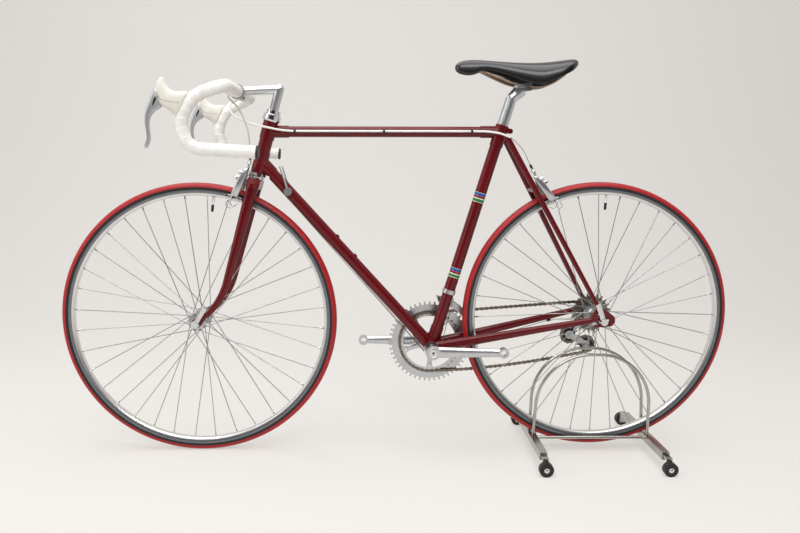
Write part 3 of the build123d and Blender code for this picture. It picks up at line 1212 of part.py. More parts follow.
# ---------------------------------------------------------------- the whole
def build():
    """Every node, by name."""
    nodes = {}
    top, down, seat = main_tubes()
    upper_lug, lower_lug = head_lugs()
    nodes["head_tube"] = head_tube()
    nodes["top_tube"] = top
    bosses, bores = bottle_bosses()
    nodes["down_tube"] = down - bores[0] - bores[1]
    nodes["bottle_bosses"] = group(*bosses)
    nodes["seat_tube"] = seat
    nodes["head_lugs"] = group(upper_lug, lower_lug)
    lug_body = seat_lug()
    shell = bottom_bracket_shell()
    chain_stay, seat_stay = stays()
    drop = dropout()
    shell_space = disc(BB, BB_SHELL_R, BB_SHELL_WIDTH)
    chain_stay = chain_stay - shell_space - shell - drop
    seat_stay = seat_stay - lug_body - drop - rod(BB, on_seat(SEAT_TUBE_LENGTH), MAIN_TUBE_R)
    nodes["seat_lug"] = lug_body
    nodes["bottom_bracket_shell"] = shell
    nodes["chainstays"] = both(chain_stay)
    nodes["seat_stays"] = both(seat_stay)
    right_drop = mirrored(drop) + hanger()
    stop = cable_stop() - nodes["chainstays"]
    nodes["dropouts"] = group(drop, right_drop)
    bridges = stay_bridges(nodes["seat_stays"], nodes["chainstays"])
    nodes["stay_bridges"] = group(*bridges, stop)
    nodes["bearing_cups"] = group(headset_fixed(), bracket_cups())
    nodes["seat_post"] = seat_post()
    rails = both(saddle_rail())
    nodes["saddle_rails"] = rails
    clamp = seat_clamp(rails)
    nodes["seat_post"] = group(nodes["seat_post"] - rails - clamp, clamp)
    nodes["saddle"] = saddle() - rails

    nut, lever = quick_release(REAR, REAR_OLD / 2 + DROPOUT_THICKNESS, (0.35, 0, 0.94))
    nodes["rear_axle"] = group(axle(REAR, REAR_OLD / 2 + DROPOUT_THICKNESS - 1, REAR_OLD / 2), nut, lever)

    reach = brake_reach(REAR_BRAKE, REAR)
    body, pads = side_pull(REAR_BRAKE, reach, False)
    nodes["rear_brake"] = body
    nodes["rear_brake_pads"] = pads
    reach = brake_reach(FRONT_BRAKE, FRONT)
    body, pads = side_pull(FRONT_BRAKE, reach, True)
    nodes["front_brake"] = body
    nodes["front_brake_pads"] = pads

    nodes["rear_brake_housing"] = rear_housing()
    nodes["rear_brake_housing_free"] = rear_housing_free()
    nodes["rear_brake_cable"] = rear_inner()
    nodes["front_brake_housing"] = front_housing()
    nodes["cable_clips"] = group(*[clip(x) for x in CLIP_PLACES])
    nodes["shift_levers"] = group(shift_lever(1), shift_lever(-1))
    nodes["front_derailleur"] = front_derailleur()
    nodes["shift_cables"] = shift_cables() - stop - nodes["front_derailleur"]
    changer, cage = rear_derailleur()
    nodes["rear_derailleur"] = group(changer, cage)
    nodes["shift_housing"] = shift_housing() - changer - stop
    guide_c = Vector(REAR.X + GUIDE_PULLEY_AT[0], 0, REAR.Z + GUIDE_PULLEY_AT[1])
    tension_c = Vector(REAR.X + TENSION_PULLEY_AT[0], 0, REAR.Z + TENSION_PULLEY_AT[1])
    nodes["jockey_pulleys"] = group(pulley(GUIDE_PULLEY_AT, phase_on(guide_c, PULLEY_TEETH)),
                                    pulley(TENSION_PULLEY_AT, phase_on(tension_c, PULLEY_TEETH)))
    nodes["chain"] = chain()

    bars = stand_bars()
    nodes["stand_foot_bars"] = group(*bars)
    nodes["stand_feet"] = stand_feet()
    nodes["stand_hoops"] = group(both(hoop() - bars[0] - bars[1]), stand_rods())

    for name, centre, left, right, left_end, right_end, waist, neck, phase in (
            ("front", FRONT, FRONT_FLANGE_Y, -FRONT_FLANGE_Y, 42.0, -42.0, 9.5, 0.0, 5.0),
            ("rear", REAR, REAR_FLANGE_LEFT, REAR_FLANGE_RIGHT, 52.0, -24.5, 11.0, 32.0, 0.0)):
        nodes[f"{name}_tyre"] = tyre(centre)
        nodes[f"{name}_rim"] = group(rim(centre), valve(centre, radians(98.0 if name == "front" else 93.5)))
        nodes[f"{name}_spokes"] = spokes(centre, left, right, SPOKE_HOLE_R, phase)
        nodes[f"{name}_hub"] = hub(centre, left, right, left_end, right_end, waist, neck)

    nodes["crank_spindle"] = spindle()
    nodes["left_crank"] = crank(1)
    nodes["right_crank"] = crank(-1) + spider()
    nodes["outer_chainring"] = chainring(OUTER_TEETH, OUTER_RING_Y, CHAINRING_BCD / 2 + 6.5)
    nodes["inner_chainring"] = chainring(INNER_TEETH, INNER_RING_Y, pitch_radius(INNER_TEETH) - 9)
    nodes["freewheel_sprockets"] = freewheel()

    nodes["fork_crown"] = steerer_and_crown()
    blade = fork_blade()
    end = fork_end()
    nodes["fork_blades"] = both(blade + end)
    nodes["headset_races"] = headset_moving()
    nodes["stem"] = stem()
    nodes["handlebar"] = handlebar()
    half = bar_half()
    nodes["bar_tape"] = both(half)
    cover = hood()
    nodes["brake_hoods"] = both(cover)
    nodes["brake_levers"] = both(lever_blade() - cover)
    nut, lever = quick_release(FRONT, FRONT_OLD / 2 + DROPOUT_THICKNESS, (-0.5, 0, 0.86))
    nodes["front_axle"] = group(axle(FRONT, FRONT_OLD / 2 + DROPOUT_THICKNESS - 1, FRONT_OLD / 2), nut, lever)
    return nodes


def main():
    os.makedirs("parts", exist_ok=True)
    for name, shape in build().items():
        if not name.startswith("stand_"):
            shape = group(*[PITCHED * solid for solid in shape.solids()])
        shape.label = name
        export_step(shape, f"parts/{name}.step")
        print(name, len(shape.solids()), round(shape.volume))


main()
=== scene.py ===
"""Looks of a vintage road bicycle that stands in a polished rear-wheel display stand.

Every piece is built round the packed model and rides on its bodies. The bicycle is drawn
level, in millimetres, as its makers would draw it, and `Layout` sets the drawing on the
place and pitch that the packed wheels show, in metres.
"""

import logging
import math
from collections.abc import Callable, Sequence
from dataclasses import dataclass
from enum import Enum

import bmesh
import bpy
from mathutils import Matrix, Vector

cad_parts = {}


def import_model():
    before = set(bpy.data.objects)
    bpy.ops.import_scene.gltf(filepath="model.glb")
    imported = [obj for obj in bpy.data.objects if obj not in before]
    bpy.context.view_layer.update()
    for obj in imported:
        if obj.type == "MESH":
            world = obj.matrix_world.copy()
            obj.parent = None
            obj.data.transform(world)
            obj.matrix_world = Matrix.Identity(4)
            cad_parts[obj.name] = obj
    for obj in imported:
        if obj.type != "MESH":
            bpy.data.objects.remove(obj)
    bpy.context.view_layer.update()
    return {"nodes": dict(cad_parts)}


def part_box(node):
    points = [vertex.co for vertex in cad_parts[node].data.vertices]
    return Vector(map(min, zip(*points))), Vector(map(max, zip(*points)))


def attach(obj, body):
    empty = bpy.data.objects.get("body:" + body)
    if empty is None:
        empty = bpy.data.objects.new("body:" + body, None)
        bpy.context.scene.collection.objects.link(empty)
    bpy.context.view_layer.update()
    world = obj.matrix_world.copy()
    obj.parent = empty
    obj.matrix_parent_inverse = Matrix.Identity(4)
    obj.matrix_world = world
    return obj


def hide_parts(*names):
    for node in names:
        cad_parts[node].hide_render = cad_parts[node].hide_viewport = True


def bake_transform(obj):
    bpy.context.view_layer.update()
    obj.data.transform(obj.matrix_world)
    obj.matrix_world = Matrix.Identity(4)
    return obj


LOG = logging.getLogger("bicycle")
MM = 0.001
TURN = 2 * math.pi
SIDES = ((1, "left"), (-1, "right"))


class Body(Enum):
    """The packed bodies that pieces ride on."""

    FRAME = "frame"
    STEERING = "steering"
    FRONT_WHEEL = "front_wheel"
    REAR_WHEEL = "rear_wheel"
    CRANKSET = "crankset"
    FREEWHEEL = "freewheel"


# ------------------------------------------------------------------------------ finishes
def linear(code: str) -> tuple[float, float, float, float]:
    """Turns an sRGB hex colour into the linear values that a shader takes.

    Args:
        code: The colour, as in "#74101A".

    Returns:
        Linear red, green, blue and an alpha of one.
    """
    parts = [int(code[at : at + 2], 16) / 255 for at in (1, 3, 5)]
    red, green, blue = (c / 12.92 if c <= 0.04045 else ((c + 0.055) / 1.055) ** 2.4 for c in parts)
    return red, green, blue, 1.0


def add_node(tree: bpy.types.NodeTree, kind: str, inputs: dict | None = None, **settings) -> bpy.types.Node:
    """Adds one node to a tree, with its settings, values and links.

    Args:
        tree: The node tree.
        kind: The node's type name.
        inputs: Input names or indices, each with a value or with the socket that feeds it.
        **settings: Properties of the node.

    Returns:
        The new node.
    """
    node = tree.nodes.new(kind)
    for name, value in settings.items():
        setattr(node, name, value)
    for key, value in (inputs or {}).items():
        if isinstance(value, bpy.types.NodeSocket):
            tree.links.new(value, node.inputs[key])
        else:
            node.inputs[key].default_value = value
    return node


def cleared(owner: bpy.types.Material | bpy.types.World) -> bpy.types.NodeTree:
    """Turns a material's or world's nodes on and returns its tree, emptied."""
    owner.use_nodes = True
    owner.node_tree.nodes.clear()
    return owner.node_tree


@dataclass(frozen=True)
class Finish:
    """One surface: its colour and gloss, and the fine unevenness that light picks out.

    Attributes:
        name: A maker's plain name for the finish.
        colour: The main sRGB colour.
        shade: The tone that the colour drifts to in patches.
        drift: How far it drifts, from 0 to 1.
        drift_mm: The size of a patch.
        metallic: 1 for a bare metal.
        roughness: The mean roughness.
        spread: How much the roughness varies.
        grain_mm: The size of the surface's grain.
        depth_mm: How deep the grain is.
        stretch: How the grain is drawn out along X, Y and Z, as by a brush or a polishing wheel.
        coat: Weight of a clear coat.
        coat_roughness: Roughness of that coat.
        sheen: Weight of a soft sheen.
        specular: Level of the base's own reflection, under any coat.
    """

    name: str
    colour: str
    shade: str
    drift: float = 0.4
    drift_mm: float = 40.0
    metallic: float = 0.0
    roughness: float = 0.5
    spread: float = 0.06
    grain_mm: float = 1.5
    depth_mm: float = 0.0
    stretch: tuple[float, float, float] = (1.0, 1.0, 1.0)
    coat: float = 0.0
    coat_roughness: float = 0.04
    sheen: float = 0.0
    specular: float = 0.5

    def paint(self, tree: bpy.types.NodeTree) -> bpy.types.NodeSocket:
        """The colour: the main tone, which drifts to the shade in soft patches."""
        where = add_node(tree, "ShaderNodeTexCoord").outputs["Object"]
        patches = add_node(
            tree, "ShaderNodeTexNoise", {"Vector": where, "Scale": 1 / (self.drift_mm * MM), "Detail": 3.0}
        )
        share = add_node(
            tree,
            "ShaderNodeMapRange",
            {"Value": patches.outputs["Fac"], "From Min": 0.35, "From Max": 0.7, "To Max": self.drift},
        )
        mixed = add_node(
            tree,
            "ShaderNodeMix",
            {"Factor": share.outputs["Result"], 6: linear(self.colour), 7: linear(self.shade)},
            data_type="RGBA",
        )
        return mixed.outputs[2]

    def grain(self, tree: bpy.types.NodeTree) -> bpy.types.NodeSocket:
        """The grain's height, from 0 to 1."""
        where = add_node(tree, "ShaderNodeTexCoord").outputs["Object"]
        drawn = add_node(tree, "ShaderNodeMapping", {"Vector": where, "Scale": self.stretch})
        noise = add_node(
            tree,
            "ShaderNodeTexNoise",
            {"Vector": drawn.outputs["Vector"], "Scale": 1 / (self.grain_mm * MM), "Detail": 4.0},
        )
        return noise.outputs["Fac"]

    def make(self) -> bpy.types.Material:
        """Builds the material.

        Returns:
            A node material with colour, roughness and relief.
        """
        material = bpy.data.materials.new(self.name)
        tree = cleared(material)
        height = self.grain(tree)
        rough = add_node(
            tree,
            "ShaderNodeMapRange",
            {
                "Value": height,
                "From Min": 0.3,
                "From Max": 0.7,
                "To Min": max(0.02, self.roughness - self.spread),
                "To Max": self.roughness + self.spread,
            },
        )
        shader = add_node(
            tree,
            "ShaderNodeBsdfPrincipled",
            {
                "Base Color": self.paint(tree),
                "Roughness": rough.outputs["Result"],
                "Metallic": self.metallic,
                "Coat Weight": self.coat,
                "Coat Roughness": self.coat_roughness,
                "Sheen Weight": self.sheen,
                "Specular IOR Level": self.specular,
            },
        )
        if self.depth_mm:
            bump = add_node(tree, "ShaderNodeBump",
                            {"Height": height, "Strength": 1.0, "Distance": self.depth_mm * MM})
            tree.links.new(bump.outputs["Normal"], shader.inputs["Normal"])
        add_node(tree, "ShaderNodeOutputMaterial", {"Surface": shader.outputs["BSDF"]})
        return material


def banded(tree: bpy.types.NodeTree, along: bpy.types.NodeSocket, start: bpy.types.NodeSocket,
           bands: Sequence[tuple[float, float, str]]) -> bpy.types.NodeSocket:
    """Paints bands over a colour.

    Args:
        tree: The material's tree.
        along: The distance that the bands are measured on, in millimetres.
        start: The colour under the bands.
        bands: For each, its start and end in millimetres and its sRGB colour.

    Returns:
        The colour with its bands.
    """
    colour = start
    for low, high, code in bands:
        above = add_node(tree, "ShaderNodeMath", {0: along, 1: low}, operation="GREATER_THAN")
        below = add_node(tree, "ShaderNodeMath", {0: along, 1: high}, operation="LESS_THAN")
        inside = add_node(
            tree, "ShaderNodeMath", {0: above.outputs["Value"], 1: below.outputs["Value"]}, operation="MULTIPLY"
        )
        mixed = add_node(
            tree, "ShaderNodeMix", {"Factor": inside.outputs["Value"], 6: colour, 7: linear(code)}, data_type="RGBA"
        )
        colour = mixed.outputs[2]
    return colour


@dataclass(frozen=True)
class StripedEnamel(Finish):
    """Gloss enamel with painted rings round a tube.

    Attributes:
        foot: Where the tube's axis starts, in metres.
        axis: The axis's direction.
        bands: For each ring, its start and end from the foot in millimetres and its colour.
    """

    foot: tuple[float, float, float] = (0.0, 0.0, 0.0)
    axis: tuple[float, float, float] = (0.0, 0.0, 1.0)
    bands: tuple[tuple[float, float, str], ...] = ()

    def paint(self, tree: bpy.types.NodeTree) -> bpy.types.NodeSocket:
        """The enamel's colour with its rings."""
        where = add_node(tree, "ShaderNodeTexCoord").outputs["Object"]
        offset = add_node(tree, "ShaderNodeVectorMath", {0: where, 1: self.foot}, operation="SUBTRACT")
        along = add_node(tree, "ShaderNodeVectorMath", {0: offset.outputs["Vector"], 1: self.axis},
                         operation="DOT_PRODUCT")
        measured = add_node(tree, "ShaderNodeMath", {0: along.outputs["Value"], 1: 1 / MM}, operation="MULTIPLY")
        return banded(tree, measured.outputs["Value"], super().paint(tree), self.bands)


@dataclass(frozen=True)
class WornTeeth(Finish):
    """Alloy of a chainring, darker at the teeth where chain and oil have been.

    Attributes:
        centre: The ring's centre, in metres.
        root_mm: The radius where the teeth begin.
        stain: The colour of the teeth.
    """

    centre: tuple[float, float, float] = (0.0, 0.0, 0.0)
    root_mm: float = 100.0
    stain: str = "#6A6158"

    def paint(self, tree: bpy.types.NodeTree) -> bpy.types.NodeSocket:
        """The alloy's colour, stained beyond the root of the teeth."""
        where = add_node(tree, "ShaderNodeTexCoord").outputs["Object"]
        offset = add_node(tree, "ShaderNodeVectorMath", {0: where, 1: self.centre}, operation="SUBTRACT")
        flat = add_node(tree, "ShaderNodeVectorMath", {0: offset.outputs["Vector"], 1: (1.0, 0.0, 1.0)},
                        operation="MULTIPLY")
        reach = add_node(tree, "ShaderNodeVectorMath", {0: flat.outputs["Vector"]}, operation="LENGTH")
        wear_and_shade = add_node(tree, "ShaderNodeMapRange",
                        {"Value": reach.outputs["Value"], "From Min": self.root_mm * MM,
                         "From Max": (self.root_mm + 3.0) * MM})
        mixed = add_node(tree, "ShaderNodeMix",
                         {"Factor": wear_and_shade.outputs["Result"], 6: super().paint(tree), 7: linear(self.stain)},
                         data_type="RGBA")
        return mixed.outputs[2]


@dataclass(frozen=True)
class TreadRubber(Finish):
    """Red tread rubber with a fine filed pattern, and painted shade: a darker red along the crown.

    Attributes:
        crown: The darker red painted along the middle as shade, where the tread is seen edge-on.
        crown_mm: Half the width of that middle, round the section.
        pattern_mm: Spacing of the filed pattern.
    """

    crown: str = "#7E1519"
    crown_mm: float = 3.2
    pattern_mm: float = 3.0

    def paint(self, tree: bpy.types.NodeTree) -> bpy.types.NodeSocket:
        """Red, with painted shade along the middle; V of the tyre's map is the distance from the crown."""
        chart = add_node(tree, "ShaderNodeUVMap", uv_map="round").outputs["UV"]
        across = add_node(tree, "ShaderNodeSeparateXYZ", {0: chart}).outputs["Y"]
        side = add_node(tree, "ShaderNodeMath", {0: across}, operation="ABSOLUTE")
        # Painted shade: the crown, seen edge-on, turns a darker red.
        wear_and_shade = add_node(
            tree,
            "ShaderNodeMapRange",
            {"Value": side.outputs["Value"], "From Min": self.crown_mm * MM, "From Max": self.crown_mm * MM * 1.8,
             "To Min": 0.75, "To Max": 0.0},
        )
        mixed = add_node(
            tree, "ShaderNodeMix", {"Factor": wear_and_shade.outputs["Result"], 6: super().paint(tree), 7: linear(self.crown)},
            data_type="RGBA",
        )
        return mixed.outputs[2]

    def grain(self, tree: bpy.types.NodeTree) -> bpy.types.NodeSocket:
        """Crossed fine grooves, as a file leaves."""
        chart = add_node(tree, "ShaderNodeUVMap", uv_map="round").outputs["UV"]
        heights = []
        for lean in (1.0, -1.0):
            turned = add_node(tree, "ShaderNodeMapping", {"Vector": chart, "Rotation": (0.0, 0.0, lean * 0.6)})
            waves = add_node(
                tree,
                "ShaderNodeTexWave",
                {"Vector": turned.outputs["Vector"], "Scale": 0.314 / (self.pattern_mm * MM)},
                wave_type="BANDS",
            )
            heights.append(waves.outputs["Fac"])
        both = add_node(tree, "ShaderNodeMath", {0: heights[0], 1: heights[1]}, operation="MULTIPLY")
        return both.outputs["Value"]


@dataclass(frozen=True)
class PerforatedTape(Finish):
    """White perforated handlebar tape: soft, faintly grained, with rows of punched holes.

    Attributes:
        hole: The colour seen down a hole.
        pitch_mm: Spacing of the holes, drawn half as coarse again as real ones so that they show.
        hole_mm: A hole's radius.
    """

    hole: str = "#A8A29A"
    pitch_mm: float = 3.6
    hole_mm: float = 0.55

    def holes(self, tree: bpy.types.NodeTree) -> bpy.types.NodeSocket:
        """One inside a punched hole and zero elsewhere; rows are staggered by half a pitch."""
        chart = add_node(tree, "ShaderNodeUVMap", uv_map="wrap").outputs["UV"]
        nearest = None
        for shift in (0.0, 0.5):
            scaled = add_node(
                tree, "ShaderNodeMapping",
                {"Vector": chart, "Scale": (1 / (self.pitch_mm * MM), 0.58 / (self.pitch_mm * MM), 0.0),
                 "Location": (shift, shift, 0.0)},
            )
            cell = add_node(tree, "ShaderNodeVectorMath", {0: scaled.outputs["Vector"]}, operation="FRACTION")
            centred = add_node(tree, "ShaderNodeVectorMath", {0: cell.outputs["Vector"], 1: (0.5, 0.5, 0.0)},
                               operation="SUBTRACT")
            shaped = add_node(tree, "ShaderNodeVectorMath", {0: centred.outputs["Vector"], 1: (1.0, 1.72, 0.0)},
                              operation="MULTIPLY")
            away = add_node(tree, "ShaderNodeVectorMath", {0: shaped.outputs["Vector"]}, operation="LENGTH")
            if nearest is None:
                nearest = away.outputs["Value"]
            else:
                nearest = add_node(tree, "ShaderNodeMath", {0: nearest, 1: away.outputs["Value"]},
                                   operation="MINIMUM").outputs["Value"]
        radius = self.hole_mm / self.pitch_mm
        edge = add_node(
            tree, "ShaderNodeMapRange",
            {"Value": nearest, "From Min": radius * 0.7, "From Max": radius * 1.2, "To Min": 1.0, "To Max": 0.0},
        )
        return edge.outputs["Result"]

    def paint(self, tree: bpy.types.NodeTree) -> bpy.types.NodeSocket:
        """White, with the holes' shadow."""
        mixed = add_node(
            tree, "ShaderNodeMix", {"Factor": self.holes(tree), 6: super().paint(tree), 7: linear(self.hole)},
            data_type="RGBA",
        )
        return mixed.outputs[2]

    def grain(self, tree: bpy.types.NodeTree) -> bpy.types.NodeSocket:
        """Leather-like grain, sunk at each hole."""
        soft = super().grain(tree)
        sunk = add_node(tree, "ShaderNodeMath", {0: soft, 1: self.holes(tree)}, operation="SUBTRACT")
        return sunk.outputs["Value"]


class Paint(Enum):
    """Every finish on the bicycle and its stand."""

    # Wine-red stoving enamel under clear lacquer: deep colour, sharp reflections, faint orange peel.
    ENAMEL = Finish("wine_enamel", "#640911", "#54070E", 0.5, 90.0, roughness=0.4, spread=0.03,
                    grain_mm=2.5, depth_mm=0.01, coat=0.5, coat_roughness=0.05,
                    specular=0.1)
    # Chromium plate over polished steel: nearly a mirror, slightly cool.
    CHROME = Finish("chrome_plate", "#DADBDC", "#C4C5C6", 0.4, 15.0, 1.0, 0.1, 0.04, 0.6)
    # Forged aluminium, buffed: bright, with very fine polishing marks.
    ALLOY = Finish("buffed_forged_alloy", "#CCCDCF", "#BABCBF", 0.5, 18.0, 1.0, 0.3, 0.06, 0.5, 0.003,
                   (1.0, 1.0, 4.0))
    # Anodised rim: silver and slightly frosted.
    ANODISED = Finish("anodised_silver", "#E2E1DF", "#D2D1CF", 0.5, 30.0, 1.0, 0.3, 0.05, 0.4, 0.003)
    # The brake track: turned metal, with fine rings left by the pads.
    BRAKE_TRACK = Finish("turned_brake_track", "#85898E", "#73787D", 0.6, 8.0, 1.0, 0.34, 0.08, 0.3, 0.004)
    # Steel chain and sprockets: brown-grey, with a film of oil.
    CHAIN_STEEL = Finish("oiled_chain_steel", "#8B8177", "#5A5046", 0.7, 6.0, 1.0, 0.34, 0.1, 0.8, 0.01)
    # Stainless spokes and nipples: drawn wire, satin.
    STAINLESS = Finish("drawn_stainless", "#ABABAB", "#959595", 0.5, 10.0, 1.0, 0.28, 0.05, 0.6)
    # Smooth dyed leather over a firm shell: black, with a low gloss and a fine grain.
    SADDLE_LEATHER = Finish("saddle_leather", "#0B0B0D", "#131315", 0.6, 12.0, roughness=0.3, spread=0.05,
                            grain_mm=0.9, depth_mm=0.02, coat=0.35, coat_roughness=0.16)
    # Bronze-coloured lacquer on the saddle's rails.
    RAIL_BRONZE = Finish("bronze_lacquer", "#8F7D6C", "#736152", 0.5, 10.0, 0.9, 0.3, 0.06, 0.8)
    # Perforated white tape, soft to the touch.
    TAPE = PerforatedTape("perforated_tape", "#F3F2EF", "#E9E7E2", 0.6, 20.0, roughness=0.62, spread=0.05,
                          grain_mm=0.8, depth_mm=0.12, sheen=0.15)
    # Natural gum rubber, aged to cream: matt, with a soft edge to every highlight.
    HOOD_RUBBER = Finish("cream_gum_rubber", "#E0DDD4", "#D3CFC3", 0.6, 22.0, roughness=0.56, spread=0.06,
                         grain_mm=0.7, depth_mm=0.02, sheen=0.08)
    # The same rubber, darker: painted shade along the hood's moulding line.
    SEAM_SHADE_RUBBER = Finish("seam_shade_rubber", "#A9A498", "#97917F", 0.6, 9.0, roughness=0.7, spread=0.06)
    # Brake levers: bead-blasted and anodised, a darker silver.
    LEVER = Finish("blasted_lever_alloy", "#C4C5C7", "#B0B2B5", 0.5, 14.0, 0.85, 0.38, 0.06, 0.5, 0.004)
    # Tread compound in red, with painted shade: a darker red along the crown.
    TREAD = TreadRubber("red_tread_rubber", "#AE1218", "#9A0F14", 0.5, 30.0, roughness=0.5, spread=0.06,
                        depth_mm=0.12)
    # Coated cotton sidewall: black and matt.
    SIDEWALL = Finish("black_sidewall", "#17171A", "#222225", 0.5, 12.0, roughness=0.56, spread=0.06,
                      grain_mm=0.5, depth_mm=0.03)
    # Moulded black rubber and plastic: plugs, pads, feet, clips.
    RUBBER = Finish("moulded_black_rubber", "#131314", "#1E1E20", 0.5, 8.0, roughness=0.46, spread=0.08,
                    grain_mm=0.7, depth_mm=0.02)
    # The stand's steel: ground and polished, with faint lengthways lines.
    STAND_STEEL = Finish("polished_stand_steel", "#B9B6B1", "#A19D97", 0.6, 25.0, 1.0, 0.24, 0.07, 0.5,
                         0.006, (1.0, 0.06, 1.0))
    # Extruded white cable housing.
    HOUSING = Finish("white_housing", "#EDECE9", "#E1DFDA", 0.4, 30.0, roughness=0.32, spread=0.04,
                     grain_mm=1.2, coat=0.3, coat_roughness=0.12)
    # The front housing's older plastic: pale grey, a little clearer.
    AGED_HOUSING = Finish("aged_housing", "#C9C7C2", "#B9B6AF", 0.4, 30.0, roughness=0.3, spread=0.04,
                          grain_mm=1.2, coat=0.3, coat_roughness=0.12)
    # Stranded inner cable: galvanised, dull grey.
    STRAND = Finish("stranded_cable", "#8F8F8E", "#777776", 0.5, 3.0, 0.9, 0.36, 0.08, 0.5)

    def material(self) -> bpy.types.Material:
        """The finish's material, made the first time it is asked for."""
        return bpy.data.materials.get(self.value.name) or self.value.make()


# -------------------------------------------------------------------------------- layout
@dataclass(frozen=True)
class Layout:
    """The level drawing of the bicycle in millimetres, set where the packed wheels stand.

    Attributes:
        front: The front axle, in metres.
        rear: The rear axle, in metres, which the stand lifts.
        chainstay: From the bottom bracket to the rear axle.
        bracket_drop: How far the bottom bracket lies below the axles.
        seat_angle: The seat tube's, in degrees from the level.
        head_angle: The head tube's.
        fork_rake: How far the front axle lies ahead of the steering axis.
        fork_length: From the axle to the crown, along the steering axis.
        stem_rise: From the crown to the stem's corner.
        stem_reach: From that corner forward to the bar.
        stem_drop: From that corner down to the bar.
        bridge: The rear brake's bridge, forward of and above the rear axle.
        stay_angle: The seat stays', in degrees from the level.
        caliper_drop: How far the front caliper's bolt lies below the crown.
    """

    front: Vector
    rear: Vector
    chainstay: float = 418.0
    bracket_drop: float = 75.0
    seat_angle: float = 72.75
    head_angle: float = 74.0
    fork_rake: float = 45.0
    fork_length: float = 369.0
    stem_rise: float = 219.0
    stem_reach: float = 96.0
    stem_drop: float = 7.8
    bridge: tuple[float, float] = (165.6, 316.0)
    stay_angle: float = 61.3
    caliper_drop: float = 9.0

    def placing(self) -> Matrix:
        """From the level drawing's millimetres to the row frame's metres."""
        lift = math.asin((self.rear.z - self.front.z) / (self.front - self.rear).length)
        turn = Matrix.Rotation(lift, 4, "Y")
        return Matrix.Translation(self.front) @ turn @ Matrix.Translation(-self.front) @ Matrix.Scale(MM, 4)

    def axle(self, body: Body) -> Vector:
        """A wheel's axle on the level drawing."""
        front = self.front / MM
        if body is Body.FRONT_WHEEL:
            return front
        return front - Vector(((self.front - self.rear).length / MM, 0, 0))

    def bracket(self) -> Vector:
        """The centre of the bottom bracket."""
        rear = self.axle(Body.REAR_WHEEL)
        return rear + Vector((math.sqrt(self.chainstay**2 - self.bracket_drop**2), 0, -self.bracket_drop))

    def steering_axis(self) -> Vector:
        """The way up along the head tube."""
        angle = math.radians(self.head_angle)
        return Vector((-math.cos(angle), 0, math.sin(angle)))

    def steering_forward(self) -> Vector:
        """The way forward, square to the head tube."""
        angle = math.radians(self.head_angle)
        return Vector((math.sin(angle), 0, math.cos(angle)))

    def on_steering(self, along: float, forward: float = 0.0) -> Vector:
        """A point measured along the steering axis and ahead of it."""
        foot = self.axle(Body.FRONT_WHEEL) - self.steering_forward() * self.fork_rake
        return foot + self.steering_axis() * along + self.steering_forward() * forward

    def on_seat(self, along: float) -> Vector:
        """A point measured along the seat tube from the bracket."""
        angle = math.radians(self.seat_angle)
        return self.bracket() + Vector((-math.cos(angle), 0, math.sin(angle))) * along

    def stay_up(self) -> Vector:
        """The way up along the seat stays."""
        angle = math.radians(self.stay_angle)
        return Vector((math.cos(angle), 0, math.sin(angle)))

    def stay_back(self) -> Vector:
        """The way back, square to the seat stays."""
        up = self.stay_up()
        return Vector((-up.z, 0, up.x))

    def bar_centre(self) -> Vector:
        """The middle of the handlebar's clamp."""
        corner = self.on_steering(self.fork_length + self.stem_rise)
        return corner + Vector((self.stem_reach, 0, -self.stem_drop))


# ------------------------------------------------------------------------------ workshop
def linked(name: str, data: bpy.types.ID) -> bpy.types.Object:
    """A new object that holds the data, linked to the scene."""
    made = bpy.data.objects.new(name, data)
    bpy.context.scene.collection.objects.link(made)
    return made


def evaluated(piece: bpy.types.Object) -> bpy.types.Mesh:
    """The mesh that a piece's modifiers or curve settings give."""
    bpy.context.view_layer.update()
    graph = bpy.context.evaluated_depsgraph_get()
    return bpy.data.meshes.new_from_object(piece.evaluated_get(graph), depsgraph=graph)


